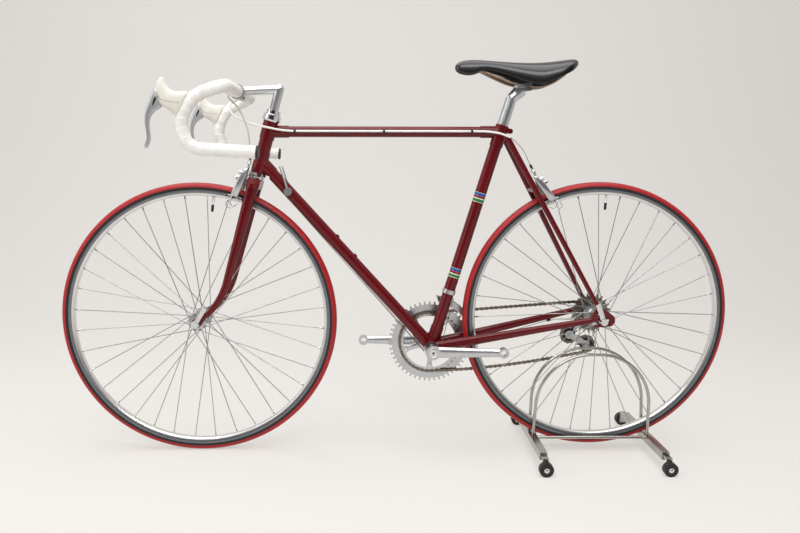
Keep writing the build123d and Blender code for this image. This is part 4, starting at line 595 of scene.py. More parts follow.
@dataclass
class Workshop:
    """Makes meshes from the level drawing and sets them in the row frame.

    Attributes:
        layout: The level drawing.
        nodes: The packed nodes, by name.
    """

    layout: Layout
    nodes: dict[str, bpy.types.Object]
    placed: int = 0

    def mesh(self, name: str, points: Sequence[Vector], faces: Sequence[Sequence[int]],
             charts: dict[str, Sequence[tuple[float, float]]] | None = None, sharp: float = 35.0,
             level: bool = True) -> bpy.types.Object:
        """A mesh object at the origin.

        Args:
            name: The piece's name.
            points: Vertices, in millimetres of the level drawing.
            faces: Vertex indices of each face.
            charts: UV maps by name, one pair for each face corner.
            sharp: Edges that turn by more degrees than this stay sharp.
            level: Whether the points belong to the pitched bicycle; the stand's don't.

        Returns:
            The object.
        """
        place = self.layout.placing() if level else Matrix.Scale(MM, 4)
        mesh = bpy.data.meshes.new(name)
        mesh.from_pydata([place @ Vector(point) for point in points], [], [list(face) for face in faces])
        for chart, pairs in (charts or {}).items():
            layer = mesh.uv_layers.new(name=chart)
            layer.data.foreach_set("uv", [value for pair in pairs for value in pair])
        shape = bmesh.new()
        shape.from_mesh(mesh)
        bmesh.ops.recalc_face_normals(shape, faces=shape.faces[:])
        shape.to_mesh(mesh)
        shape.free()
        mesh.shade_smooth()
        mesh.set_sharp_from_angle(angle=math.radians(sharp))
        return linked(name, mesh)

    def loft(self, name: str, rings: Sequence[Sequence[Vector]], closed: bool = False,
             chart: str | None = None, sharp: float = 35.0, level: bool = True) -> bpy.types.Object:
        """Joins rings of points into a skin, with its ends capped.

        Args:
            name: The piece's name.
            rings: Rings with the same number of points.
            closed: Whether the last ring joins the first.
            chart: Name of a UV map in metres, round the ring and along the skin.
            sharp: Edges that turn by more degrees than this stay sharp.
            level: Whether the points belong to the pitched bicycle.

        Returns:
            The object.
        """
        count = len(rings[0])
        points = [point for ring in rings for point in ring]
        faces, pairs = [], []
        along = [0.0]
        for one, two in zip(rings, list(rings[1:]) + [rings[0]]):
            along.append(along[-1] + (Vector(two[0]) - Vector(one[0])).length * MM)
        girth = [0.0]
        for one, two in zip(rings[0], list(rings[0][1:]) + [rings[0][0]]):
            girth.append(girth[-1] + (Vector(two) - Vector(one)).length * MM)
        for row in range(len(rings) if closed else len(rings) - 1):
            after = (row + 1) % len(rings)
            for at in range(count):
                beside = (at + 1) % count
                faces.append((row * count + at, row * count + beside, after * count + beside, after * count + at))
                pairs += [(girth[at], along[row]), (girth[at + 1], along[row]),
                          (girth[at + 1], along[row + 1]), (girth[at], along[row + 1])]
        if not closed:
            for row in (0, len(rings) - 1):
                faces.append(tuple(row * count + at for at in range(count)))
                pairs += [(girth[at], along[row]) for at in range(count)]
        return self.mesh(name, points, faces, {chart: pairs} if chart else None, sharp, level)

    def lathe(self, name: str, profile: Sequence[tuple[float, float]], centre: Vector, axis: Vector,
              segments: int = 48, chart: str | None = None, sharp: float = 35.0,
              level: bool = True) -> bpy.types.Object:
        """Turns a closed outline about an axis.

        Args:
            name: The piece's name.
            profile: (radius, along) points of a closed outline.
            centre: The axis's zero point.
            axis: Its direction.
            segments: Steps round the axis.
            chart: Name of a UV map in metres.
            sharp: Edges that turn by more degrees than this stay sharp.
            level: Whether the points belong to the pitched bicycle.

        Returns:
            The object.
        """
        way = Vector(axis).normalized()
        side = way.orthogonal().normalized()
        other = way.cross(side)
        rings = []
        for step in range(segments):
            angle = TURN * step / segments
            out = side * math.cos(angle) + other * math.sin(angle)
            rings.append([Vector(centre) + way * along + out * radius for radius, along in profile])
        return self.loft(name, rings, True, chart, sharp, level)

    def tube(self, name: str, path: Sequence[Vector], radius: Callable[[float, float], float], sides: int = 24,
             chart: str | None = None, level: bool = True) -> bpy.types.Object:
        """A skin round a path, whose radius may change along it and round it.

        Args:
            name: The piece's name.
            path: Points of the path.
            radius: Gives the radius at a distance along the path and an angle round it.
            sides: Points round the path.
            chart: Name of a UV map in metres.
            level: Whether the points belong to the pitched bicycle.

        Returns:
            The object.
        """
        rings, along = [], 0.0
        side = (path[1] - path[0]).orthogonal().normalized()
        for at, point in enumerate(path):
            before, after = path[max(at - 1, 0)], path[min(at + 1, len(path) - 1)]
            way = (after - before).normalized()
            side = (side - way * side.dot(way)).normalized()
            other = way.cross(side)
            if at:
                along += (point - path[at - 1]).length
            ring = []
            for step in range(sides):
                angle = TURN * step / sides
                ring.append(point + (side * math.cos(angle) + other * math.sin(angle)) * radius(along, angle))
            rings.append(ring)
        return self.loft(name, rings, False, chart, 50.0, level)

    def finish(self, piece: bpy.types.Object, paint: Paint, body: Body, *replaced: str,
               slot: str | None = None) -> bpy.types.Object:
        """Gives a made piece its finish and sets it on its body.

        Args:
            piece: The mesh or curve.
            paint: Its finish, unless its faces have theirs already.
            body: The body that it rides on.
            *replaced: Packed nodes that it stands for.
            slot: Not used.

        Returns:
            The piece.
        """
        if not piece.data.materials:
            piece.data.materials.append(paint.material())
        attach(piece, body.value)
        if replaced:
            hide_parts(*replaced)
        self.placed += 1
        LOG.info("%s rides on %s", piece.name, body.value)
        return piece

    def turned(self, name: str, profile: Sequence[tuple[float, float]], centre: Vector, axis: Vector, steps: int,
               paint: Paint, body: Body, *replaced: str) -> None:
        """Turns a fitting about an axis, as `lathe` does, and gives it its finish and body.

        Args:
            name: The piece's name.
            profile: (radius, along) points of a closed outline.
            centre: The axis's zero point.
            axis: Its direction.
            steps: Steps round the axis.
            paint: The finish.
            body: The body that it rides on.
            *replaced: Packed nodes that it stands for.
        """
        self.finish(self.lathe(name, profile, centre, axis, steps), paint, body, *replaced)

    def moulded(self, name: str, rings: Sequence[Sequence[Vector]], sharp: float, levels: int, paint: Paint,
                body: Body, *replaced: str, slot: str | None = None) -> None:
        """Joins rings into a rounded piece and gives it its finish and body.

        Args:
            name: The piece's name.
            rings: Rings with the same number of points.
            sharp: Edges that turn by more degrees than this stay sharp.
            levels: How often the faces are divided to round them.
            paint: The finish.
            body: The body that it rides on.
            *replaced: Packed nodes that it stands for.
            slot: The record's material slot.
        """
        piece = self.loft(name, rings, sharp=sharp)
        soften(piece, levels)
        self.finish(piece, paint, body, *replaced, slot=slot)

    def dress(self, paint: Paint | bpy.types.Material, *names: str) -> None:
        """Gives packed nodes a finish.

        Args:
            paint: The finish.
            *names: The nodes.
        """
        material = paint.material() if isinstance(paint, Paint) else paint
        for name in names:
            for place in self.nodes[name].material_slots:
                place.material = material
            LOG.info("packed node %s gets %s", name, material.name)


@dataclass
class Pattern:
    """A Geometry Nodes tree that sets one small item on every point of a mesh.

    Each point carries a `turn` attribute, the item's rotation as Euler angles.

    Attributes:
        shop: The workshop.
        tree_name: The tree's name.
    """

    shop: Workshop
    tree_name: str = "items_on_points"

    def tree(self) -> bpy.types.NodeTree:
        """The tree, built the first time it is asked for.

        Returns:
            A tree with inputs for the item, its size and its material.
        """
        made = bpy.data.node_groups.get(self.tree_name)
        if made:
            return made
        made = bpy.data.node_groups.new(self.tree_name, "GeometryNodeTree")
        made.is_modifier = True
        for label, kind in (("Points", "NodeSocketGeometry"), ("Item", "NodeSocketObject"),
                            ("Size", "NodeSocketFloat"), ("Material", "NodeSocketMaterial")):
            made.interface.new_socket(name=label, in_out="INPUT", socket_type=kind)
        made.interface.new_socket(name="Items", in_out="OUTPUT", socket_type="NodeSocketGeometry")
        given = add_node(made, "NodeGroupInput").outputs
        item = add_node(made, "GeometryNodeObjectInfo", {"Object": given["Item"], "As Instance": True})
        turn = add_node(made, "GeometryNodeInputNamedAttribute", {"Name": "turn"}, data_type="FLOAT_VECTOR")
        rotation = add_node(made, "FunctionNodeEulerToRotation", {0: turn.outputs["Attribute"]})
        copies = add_node(
            made,
            "GeometryNodeInstanceOnPoints",
            {"Points": given["Points"], "Instance": item.outputs["Geometry"],
             "Rotation": rotation.outputs[0], "Scale": given["Size"]},
        )
        real = add_node(made, "GeometryNodeRealizeInstances", {"Geometry": copies.outputs["Instances"]})
        coloured = add_node(
            made, "GeometryNodeSetMaterial", {"Geometry": real.outputs["Geometry"], "Material": given["Material"]}
        )
        add_node(made, "NodeGroupOutput", {"Items": coloured.outputs["Geometry"]})
        return made

    def repeat(self, name: str, item: bpy.types.Object, places: Sequence[Matrix], paint: Paint) -> bpy.types.Object:
        """Sets an item at each place and returns the result as one plain mesh.

        Args:
            name: The piece's name.
            item: The item at the origin, in metres; it is removed afterwards.
            places: Where each copy goes, in the row frame, in metres.
            paint: The finish.

        Returns:
            The piece, with no modifier left.
        """
        points = bpy.data.meshes.new(name + "_points")
        points.from_pydata([place.to_translation() for place in places], [], [])
        turn = points.attributes.new("turn", "FLOAT_VECTOR", "POINT")
        turn.data.foreach_set("vector", [angle for place in places for angle in place.to_euler("XYZ")])
        carrier = linked(name + "_carrier", points)
        modifier = carrier.modifiers.new("items", "NODES")
        modifier.node_group = self.tree()
        values = {"Item": item, "Size": 1.0, "Material": paint.material()}
        for socket in modifier.node_group.interface.items_tree:
            if socket.name in values:
                modifier[socket.identifier] = values[socket.name]
        mesh = evaluated(carrier)
        mesh.name = name
        piece = linked(name, mesh)
        for spent in (carrier, item):
            bpy.data.objects.remove(spent)
        return piece

    def item(self, name: str, profile: Sequence[tuple[float, float]], segments: int) -> bpy.types.Object:
        """A small turned item about Z at the origin, in metres.

        Args:
            name: Its name.
            profile: (radius, height) points in millimetres, from the axis back to the axis.
            segments: Steps round the axis.

        Returns:
            The object.
        """
        rings = []
        for radius, height in profile:
            rings.append([Vector((radius * math.cos(TURN * step / segments),
                                  radius * math.sin(TURN * step / segments), height)) for step in range(segments)])
        return self.shop.loft(name, rings, level=False)


def soften(piece: bpy.types.Object, levels: int) -> None:
    """Rounds a moulded or forged piece by subdivision, then keeps the result.

    Args:
        piece: The piece, still without a body.
        levels: How often its faces are divided.
    """
    modifier = piece.modifiers.new("soft", "SUBSURF")
    modifier.levels = modifier.render_levels = levels
    mesh = evaluated(piece)
    piece.modifiers.clear()
    piece.data = mesh


def facing(point: Vector, way: Vector, up: Vector = Vector((0, 1, 0))) -> Matrix:
    """A place at a point whose Z looks along a way and whose X is near another direction.

    Args:
        point: The point.
        way: The direction of Z.
        up: The direction that X leans to.

    Returns:
        The place's matrix.
    """
    z = way.normalized()
    x = (up - z * up.dot(z)).normalized() if abs(up.normalized().dot(z)) < 0.99 else z.orthogonal().normalized()
    y = z.cross(x)
    turn = Matrix((x, y, z)).transposed().to_4x4()
    return Matrix.Translation(point) @ turn


def bent(points: Sequence[Vector], radii: Sequence[float], step: float) -> list[Vector]:
    """The middle line of a bent rigid tube: straight runs and true arcs, as a bender leaves.

    Args:
        points: The corners, with both ends.
        radii: A bend radius for each inner corner.
        step: The spacing of the returned points.

    Returns:
        Points along the line.
    """
    line = [points[0]]
    for before, corner, after, radius in zip(points, points[1:], points[2:], radii):
        inward, outward = (corner - before).normalized(), (after - corner).normalized()
        turn = inward.angle(outward)
        reach = radius * math.tan(turn / 2)
        start = corner - inward * reach
        normal = (outward - inward * inward.dot(outward)).normalized()
        centre = start + normal * radius
        line += spaced(line[-1], start, step)
        count = max(2, round(radius * turn / step))
        for at in range(1, count + 1):
            angle = turn * at / count
            line.append(centre - normal * radius * math.cos(angle) + inward * radius * math.sin(angle))
    return line + spaced(line[-1], points[-1], step)


def spaced(start: Vector, end: Vector, step: float) -> list[Vector]:
    """Points after start up to end, about a step apart."""
    count = max(1, round((end - start).length / step))
    return [start.lerp(end, at / count) for at in range(1, count + 1)]


def oval(centre: Vector, across: Vector, upward: Vector, count: int = 24, power: float = 2.0) -> list[Vector]:
    """A ring of points on a superellipse.

    Args:
        centre: Its centre.
        across: Half its width, as a vector.
        upward: Half its height, as a vector.
        count: How many points.
        power: 2 for an ellipse, more for a squarer ring.

    Returns:
        The points.
    """
    ring = []
    for at in range(count):
        c, s = math.cos(TURN * at / count), math.sin(TURN * at / count)
        ring.append(centre + across * math.copysign(abs(c) ** (2 / power), c)
                    + upward * math.copysign(abs(s) ** (2 / power), s))
    return ring


# -------------------------------------------------------------------------------- wheels
@dataclass
class Wheel:
    """A 36-spoke wheel with its tyre, rim, nipples, spoke heads and valve.

    Attributes:
        shop: The workshop.
        body: The wheel's body.
        valve_angle: Where the valve stands, in degrees from straight forward.
        phase: The first spoke's angle.
        left_flange: The left flange's place along the axle.
        right_flange: The right flange's.
    """

    shop: Workshop
    body: Body
    valve_angle: float
    phase: float
    left_flange: float
    right_flange: float
    tyre_r: float = 334.0
    section_r: float = 11.5
    bead_r: float = 317.0
    rim_half: float = 10.0
    rim_depth: float = 14.0
    spokes: int = 36
    crosses: int = 3
    hole_r: float = 18.5
    flange_thickness: float = 3.0
    hoop_steps: int = 200

    def build(self) -> None:
        """Makes and dresses the wheel."""
        name = self.body.value.removesuffix("_wheel")
        self.tyre(name)
        self.rim(name)
        self.valve(name)
        self.lacing(name)
        self.shop.dress(Paint.STAINLESS, name + "_spokes")
        self.shop.dress(Paint.ALLOY, name + "_hub")

    def centre(self) -> Vector:
        """The wheel's centre on the level drawing."""
        return self.shop.layout.axle(self.body)

    def tyre(self, name: str) -> None:
        """Red tread down to the widest point and black sidewalls below it."""
        middle = self.tyre_r - self.section_r
        side_r = self.section_r - 0.35
        end = math.degrees(math.acos((self.bead_r + 0.2 - middle) / side_r))
        tread_end = 84.0
        stations = [tread_end * at / 12 for at in range(13)] + [tread_end + 2.5]
        stations += [tread_end + 2.5 + (end - tread_end - 2.5) * at / 6 for at in range(1, 7)]
        half = []
        for angle in stations:
            radius = self.section_r if angle <= tread_end else side_r
            turn = math.radians(angle)
            half.append((middle + radius * math.cos(turn), radius * math.sin(turn)))
        half += [(self.bead_r + 0.1, self.rim_half - 1.5), (self.bead_r - 2.4, self.rim_half - 1.8)]
        profile = [(r, -y) for r, y in reversed(half[1:])] + half
        arc = [math.radians(angle) * self.section_r for angle in stations]
        arc += [arc[-1] + 3.0, arc[-1] + 6.0]
        offsets = [-value for value in reversed(arc[1:])] + arc
        piece = self.shop.lathe(f"{name}_tyre_casing", profile, self.centre(), Vector((0, 1, 0)), self.hoop_steps,
                                chart="round", sharp=60)
        self.chart_tread(piece, profile, offsets)
        self.shop.finish(piece, Paint.TREAD, self.body, name + "_tyre", slot="tyre")

    def chart_tread(self, piece: bpy.types.Object, profile: list[tuple[float, float]], offsets: list[float]) -> None:
        """Writes the tread's map, metres along the roll and from the crown, and colours the sidewalls.

        Args:
            piece: The lathed tyre.
            profile: Its section.
            offsets: Each section point's distance from the crown, in millimetres.
        """
        mesh = piece.data
        for paint in (Paint.TREAD, Paint.SIDEWALL):
            mesh.materials.append(paint.material())
        count = len(profile)
        layer = mesh.uv_layers["round"].data
        tread_reach = math.radians(85.0) * self.section_r
        rows = len(mesh.vertices) // count
        for face in mesh.polygons:
            steps = [mesh.loops[loop].vertex_index // count for loop in face.loop_indices]
            wraps = max(steps) - min(steps) > 1
            reaches = []
            for loop, step in zip(face.loop_indices, steps):
                across = offsets[mesh.loops[loop].vertex_index % count]
                roll = (step + (rows if wraps and step == 0 else 0)) / rows * TURN * self.tyre_r
                layer[loop].uv = (roll * MM, across * MM)
                reaches.append(abs(across))
            face.material_index = 0 if max(reaches) < tread_reach + 0.6 else 1

    def rim(self, name: str) -> None:
        """Box-section rim: hooked edges, turned brake tracks and a rounded inner wall."""
        outer, half, inner = self.bead_r, self.rim_half, self.bead_r - self.rim_depth
        wall = [(outer - 3.2, half - 1.3), (outer + 0.1, half - 1.2), (outer + 0.3, half - 0.5),
                (outer - 0.1, half), (outer - 7.6, half), (outer - 8.1, half - 0.35), (outer - 9.6, half - 0.6),
                (outer - 11.4, half - 1.7), (inner + 1.1, half - 3.2), (inner + 0.25, half - 5.0),
                (inner, half - 7.0)]
        profile = wall + [(r, -y) for r, y in reversed(wall)]
        piece = self.shop.lathe(f"{name}_rim_hoop", profile, self.centre(), Vector((0, 1, 0)), self.hoop_steps,
                                sharp=50)
        for paint in (Paint.ANODISED, Paint.BRAKE_TRACK):
            piece.data.materials.append(paint.material())
        centre = self.shop.layout.placing() @ self.centre()
        for face in piece.data.polygons:
            out = (face.center - centre) / MM
            reach = math.hypot(out.x, out.z)
            if abs(out.y) > half - 0.2 and outer - 7.7 < reach < outer:
                face.material_index = 1
        self.shop.finish(piece, Paint.ANODISED, self.body, name + "_rim", slot="polished_alloy")

    def valve(self, name: str) -> None:
        """A long threaded stem with its locking ring, and a black cap."""
        angle = math.radians(self.valve_angle)
        out = Vector((math.cos(angle), 0, math.sin(angle)))
        foot = self.centre() + out * (self.bead_r - self.rim_depth - 0.1)
        threads = [(0.0, -1.0), (2.8, -1.0)]
        for turn in range(14):
            threads += [(3.0, turn * 1.4), (2.6, turn * 1.4 + 0.7)]
        threads += [(2.4, 20.5), (0.0, 20.5)]
        ring = [(2.5, 0.2), (4.6, 0.2), (4.9, 0.8), (4.6, 2.2), (2.5, 2.2)]
        cap = [(0.0, 20.0), (3.3, 20.0), (3.4, 21.0), (3.3, 33.0), (2.6, 36.0), (1.2, 37.0), (0.0, 37.0)]
        for word, profile, steps, paint in (("stem", threads, 16, Paint.CHROME), ("ring", ring, 18, Paint.CHROME),
                                            ("cap", cap, 18, Paint.RUBBER)):
            self.shop.turned(f"{name}_valve_{word}", profile, foot, -out, steps, paint, self.body)

    def lacing(self, name: str) -> None:
        """A nipple in its eyelet at the rim's end of every spoke, and a head at its other end."""
        place = self.shop.layout.placing()
        turn_only = place.to_3x3().normalized()
        lean = self.crosses * 720.0 / self.spokes
        rim_r = self.bead_r - self.rim_depth
        at_rim, at_hub = [], []
        for index in range(self.spokes):
            side = 1 if index % 2 == 0 else -1
            forward = 1 if (index // 2) % 2 == 0 else -1
            rim_angle = math.radians(self.phase + index * 360.0 / self.spokes)
            hub_angle = rim_angle + math.radians(forward * lean)
            flange = self.left_flange if side > 0 else self.right_flange
            start = Vector((self.hole_r * math.cos(hub_angle), flange, self.hole_r * math.sin(hub_angle)))
            end = Vector((rim_r * math.cos(rim_angle), side * 2.2, rim_r * math.sin(rim_angle)))
            at_rim.append(facing(place @ (self.centre() + end), turn_only @ (start - end)))
            head = start - Vector((0, forward * self.flange_thickness / 2, 0))
            at_hub.append(facing(place @ (self.centre() + head), turn_only @ Vector((0, -forward, 0)),
                                 Vector((1, 0, 0))))
        pattern = Pattern(self.shop)
        nipple = pattern.item("nipple", ((0.01, -1.5), (3.1, -1.4), (3.3, 0.1), (2.9, 0.6), (2.1, 0.9),
                                         (2.0, 6.5), (1.7, 9.0), (1.2, 9.8), (0.01, 9.8)), 10)
        piece = pattern.repeat(f"{name}_nipples", nipple, at_rim, Paint.CHROME)
        self.shop.finish(piece, Paint.CHROME, self.body)
        head = pattern.item("spoke_head", ((0.01, -0.3), (1.9, -0.2), (1.9, 0.3), (1.3, 0.9), (0.01, 1.2)), 10)
        piece = pattern.repeat(f"{name}_spoke_heads", head, at_hub, Paint.STAINLESS)
        self.shop.finish(piece, Paint.STAINLESS, self.body)


# ------------------------------------------------------------------------------- cockpit
@dataclass
class Cockpit:
    """Taped drop bar with its plugs, hoods and levers, and the stem's bolts."""

    shop: Workshop
    bar_half: float = 195.0
    tape_start: float = 26.0
    tape_r: float = 13.6
    wrap_mm: float = 21.0
    wrap_step: float = 1.25
    corners: tuple[tuple[float, float], ...] = ((0, 0), (66, -28), (93, -79), (74, -133), (-69, -142))
    bends: tuple[float, ...] = (44.0, 66.0, 56.0, 37.0)
    hood_stations: tuple[tuple[float, float, float, float, float], ...] = (
        (66, -15.5, 92, -68, 15.0), (76, -15.0, 97, -69, 15.8), (84, -15.2, 101.5, -65, 16.0),
        (93, -15.8, 106, -58.5, 15.8), (101, -14.6, 112.5, -53.4, 15.4), (107.5, -11.8, 120, -50.4, 15.0),
        (111.5, -7, 127, -45, 14.4), (114.5, -1.5, 131, -36.5, 13.6), (116.5, 3, 134.3, -26, 12.6),
        (118, 7.2, 136.8, -14, 11.2), (119.8, 11, 136.6, -2.5, 9.2), (122.5, 13.4, 132.2, 7.2, 6.4),
        (125, 14.2, 128.6, 11.8, 3.2),
    )
    lever_stations: tuple[tuple[float, float, float, float, float], ...] = (
        (138, -4, 131, -9, 4.0), (143, -14, 128, -22, 6.2), (149.5, -26, 126, -36, 7.4),
        (155, -38, 125.5, -47.5, 7.8), (159.3, -48.5, 133.5, -51.4, 7.6), (162, -58, 143.5, -57, 7.4),
        (163.4, -68, 150.8, -66.5, 7.2), (163.9, -78, 154.2, -76, 7.0), (163.0, -88, 155.3, -87, 6.8),
        (161.6, -98, 154.3, -97.5, 6.6), (160.5, -107, 152.9, -107.5, 6.4), (161.2, -114, 153.7, -116.2, 6.2),
        (164.4, -121.3, 156.6, -124, 5.9), (167.4, -127.6, 160.0, -130.4, 5.2), (166.6, -131.6, 162.4, -133.4, 3.2),
    )
    seam: tuple[tuple[float, float, float], ...] = (
        (86, -39.5, 15.9), (98.5, -38.9, 15.6), (109.5, -37.2, 15.2), (120.6, -34.8, 14.2),
        (128.8, -30.2, 12.9), (133.5, -24, 11.2), (135.5, -15, 9.9),
    )

    def build(self) -> None:
        """Makes both halves and the fittings between them."""
        for side, word in SIDES:
            self.tape(side, word)
            self.hood(side, word)
            self.lever(side, word)
        self.shop.dress(Paint.ALLOY, "stem", "handlebar")
        self.bolts()

    def at(self, forward: float, left: float, up: float) -> Vector:
        """A point measured from the middle of the bar."""
        return self.shop.layout.bar_centre() + Vector((forward, left, up))

    def tape(self, side: int, word: str) -> None:
        """Wound tape: each turn laps the last, and a black plug closes the end.

        Args:
            side: 1 for the left half, -1 for the right.
            word: The side's name.
        """
        route = [self.at(0, side * self.tape_start, 0)]
        route += [self.at(forward, side * self.bar_half, up) for forward, up in self.corners]
        path = bent(route, self.bends, 1.1)

        def radius(along: float, angle: float) -> float:
            turns = along / self.wrap_mm - side * angle / TURN
            share = turns % 1.0
            lap = self.wrap_step * (1 - share) ** 1.6 if share > 0.07 else self.wrap_step * share / 0.07
            lump = 0.3 * math.sin(along / 9.7 + 1.3 * angle) + 0.2 * math.sin(along / 5.1 - 2.0 * angle)
            start = min(1.0, along / 6.0 + 0.55)
            return (self.tape_r + lap + lump) * start

        piece = self.shop.tube(f"{word}_tape", path, radius, 40, chart="wrap")
        replaced = ("bar_tape",) if side > 0 else ()
        self.shop.finish(piece, Paint.TAPE, Body.STEERING, *replaced, slot="bar_tape")
        end, way = path[-1], (path[-1] - path[-3]).normalized()
        plug = [(0.0, -4.0), (13.4, -4.0), (14.6, -0.4), (14.4, 1.3), (13.0, 2.4), (8.0, 2.9), (0.0, 3.0)]
        self.shop.turned(f"{word}_bar_plug", plug, end, way, 36, Paint.RUBBER, Body.STEERING)
        first = (path[1] - path[0]).normalized()
        band = [(12.2, -1.0), (13.8, -1.0), (14.4, 0.4), (14.5, 7.6), (14.1, 9.0), (12.2, 9.0)]
        self.shop.turned(f"{word}_tape_band", band, path[0], first, 36, Paint.HOUSING, Body.STEERING)

    def slices(self, stations: Sequence[tuple[float, float, float, float, float]], side: int,
               power: float) -> list[list[Vector]]:
        """Rounded sections between an upper and a lower outline, centred on one lever.

        Args:
            stations: Upper point, lower point (forward, up) and half width of each section.
            side: 1 for the left lever, -1 for the right.
            power: How square the sections are.

        Returns:
            The rings.
        """
        rings = []
        for top_x, top_z, low_x, low_z, half in stations:
            top, low = self.at(top_x, side * self.bar_half, top_z), self.at(low_x, side * self.bar_half, low_z)
            rings.append(oval((top + low) / 2, Vector((0, half, 0)), (top - low) / 2, 28, power))
        return rings

    def hood(self, side: int, word: str) -> None:
        """A cream rubber hood, moulded over the lever's body, with its peak and its side seam."""
        rings = self.slices(self.hood_stations, side, 2.7)
        replaced = ("brake_hoods",) if side > 0 else ()
        self.shop.moulded(f"{word}_hood", rings, 70, 2, Paint.HOOD_RUBBER, Body.STEERING, *replaced,
                          slot="hood_rubber")
        # The seam ribs are darker rubber: painted shade along the moulding line's groove.
        for reach, label in ((1, "outer"), (-1, "inner")):
            line = [self.at(x, side * self.bar_half + reach * (half - 0.25), z) for x, z, half in self.seam]
            rib = self.shop.tube(f"{word}_hood_{label}_seam", line, lambda along, angle: 0.75, 8)
            soften(rib, 2)
            self.shop.finish(rib, Paint.SEAM_SHADE_RUBBER, Body.STEERING)

    def lever(self, side: int, word: str) -> None:
        """An aero lever: broad and slotted under the hood, then a curved blade with a flared tip."""
        replaced = ("brake_levers",) if side > 0 else ()
        self.shop.moulded(f"{word}_lever", self.slices(self.lever_stations, side, 3.2), 60, 2, Paint.LEVER,
                          Body.STEERING, *replaced, slot="lever_grey")
        # Black pieces on each side stand for the slot: painted shade in a dark recess.
        for reach, label in ((1, "outer"), (-1, "inner")):
            rings = []
            for forward, up, size in ((136.5, -26, 1.2), (139, -33, 3.2), (142, -41, 4.4), (146, -49, 1.6)):
                middle = self.at(forward, side * self.bar_half + reach * 6.7, up)
                rings.append(oval(middle, Vector((0, 1.1, 0)), Vector((size, 0, size * 0.4)), 12))
            self.shop.moulded(f"{word}_lever_{label}_slot", rings, 60, 1, Paint.RUBBER, Body.STEERING)
        pivot = [(0.0, -7.4), (2.6, -7.4), (3.0, -7.0), (3.0, 7.0), (2.6, 7.4), (0.0, 7.4)]
        self.shop.turned(f"{word}_lever_pin", pivot, self.at(131, side * self.bar_half, -27), Vector((0, 1, 0)), 20,
                         Paint.CHROME, Body.STEERING)

    def bolts(self) -> None:
        """The expander bolt on the stem's corner and the binder bolt under the bar clamp."""
        layout = self.shop.layout
        corner = layout.on_steering(layout.fork_length + layout.stem_rise + 10.2)
        head = [(2.8, -1.2), (2.8, 1.2), (5.4, 1.2), (6.2, 0.4), (6.2, -1.2)]
        up = layout.steering_axis()
        self.shop.turned("expander_bolt", head, corner, up, 24, Paint.CHROME, Body.STEERING)
        # The black hexagon is painted shade in the bolt's socket.
        socket = [(0.0, -1.2), (2.8, -1.2), (2.8, 0.2), (0.0, 0.2)]
        self.shop.turned("expander_socket", socket, corner, up, 6, Paint.RUBBER, Body.STEERING)
        nut = [(0.0, -0.5), (4.6, -0.5), (5.0, 0.4), (4.6, 2.6), (2.4, 3.0), (2.4, 1.0), (0.0, 1.0)]
        for side, word in SIDES:
            foot = self.at(-11, side * 13, -15)
            self.shop.turned(f"{word}_binder_bolt", nut, foot, Vector((0, side, 0)), 24, Paint.CHROME,
                             Body.STEERING)


# -------------------------------------------------------------------------------- saddle
@dataclass
class Saddle:
    """A slim saddle: leather over a firm shell with open underside."""

    shop: Workshop
    height: float = 956.0
    wall: float = 4.0
    stations: tuple[tuple[float, float, float, float], ...] = (
        (358.5, 5.5, -14.0, -20.0), (355.5, 9.5, -9.5, -25.0), (349.0, 14.0, -4.5, -30.0),
        (338.0, 17.0, -1.6, -33.0), (322.0, 19.5, 0.2, -34.5), (308.0, 20.5, 0.0, -32.0),
        (296.0, 21.0, -0.4, -25.5), (272.0, 23.5, -2.4, -26.0), (240.0, 29.0, -4.6, -35.5),
        (205.0, 43.0, -6.8, -51.0), (175.0, 56.0, -7.0, -60.0), (160.0, 62.0, -6.6, -61.5),
        (145.0, 66.5, -5.8, -57.0), (132.0, 69.0, -4.8, -50.0), (118.0, 70.0, -3.0, -45.5),
        (103.0, 69.5, -1.2, -37.0), (91.0, 66.0, 0.4, -31.0), (81.0, 58.0, 0.9, -22.0),
        (74.5, 46.0, -0.6, -15.0), (71.0, 34.0, -4.0, -11.5),
    )

    def build(self) -> None:
        """Makes the cover and dresses the rails."""
        rear = self.shop.layout.axle(Body.REAR_WHEEL)
        count, rings = 26, []
        for along, half, top, low in self.stations:
            ring = []
            for at in range(count + 1):
                angle = math.pi * at / count
                c, s = math.cos(angle), math.sin(angle)
                y = math.copysign(abs(c) ** 0.72, c) * half
                z = self.height + low + (top - low) * max(0.0, s) ** 0.62
                ring.append(Vector((rear.x + along, y, z)))
            inner = [Vector((p.x, p.y * (1 - self.wall / half), p.z - self.wall * (p.z - self.height - low)
                             / max(1.0, top - low))) for p in reversed(ring)]
            rings.append(ring + inner)
        self.shop.moulded("saddle_cover", rings, 80, 1, Paint.SADDLE_LEATHER, Body.FRAME, "saddle",
                          slot="saddle_cover")
        self.shop.dress(Paint.RAIL_BRONZE, "saddle_rails")
        self.shop.dress(Paint.ALLOY, "seat_post")


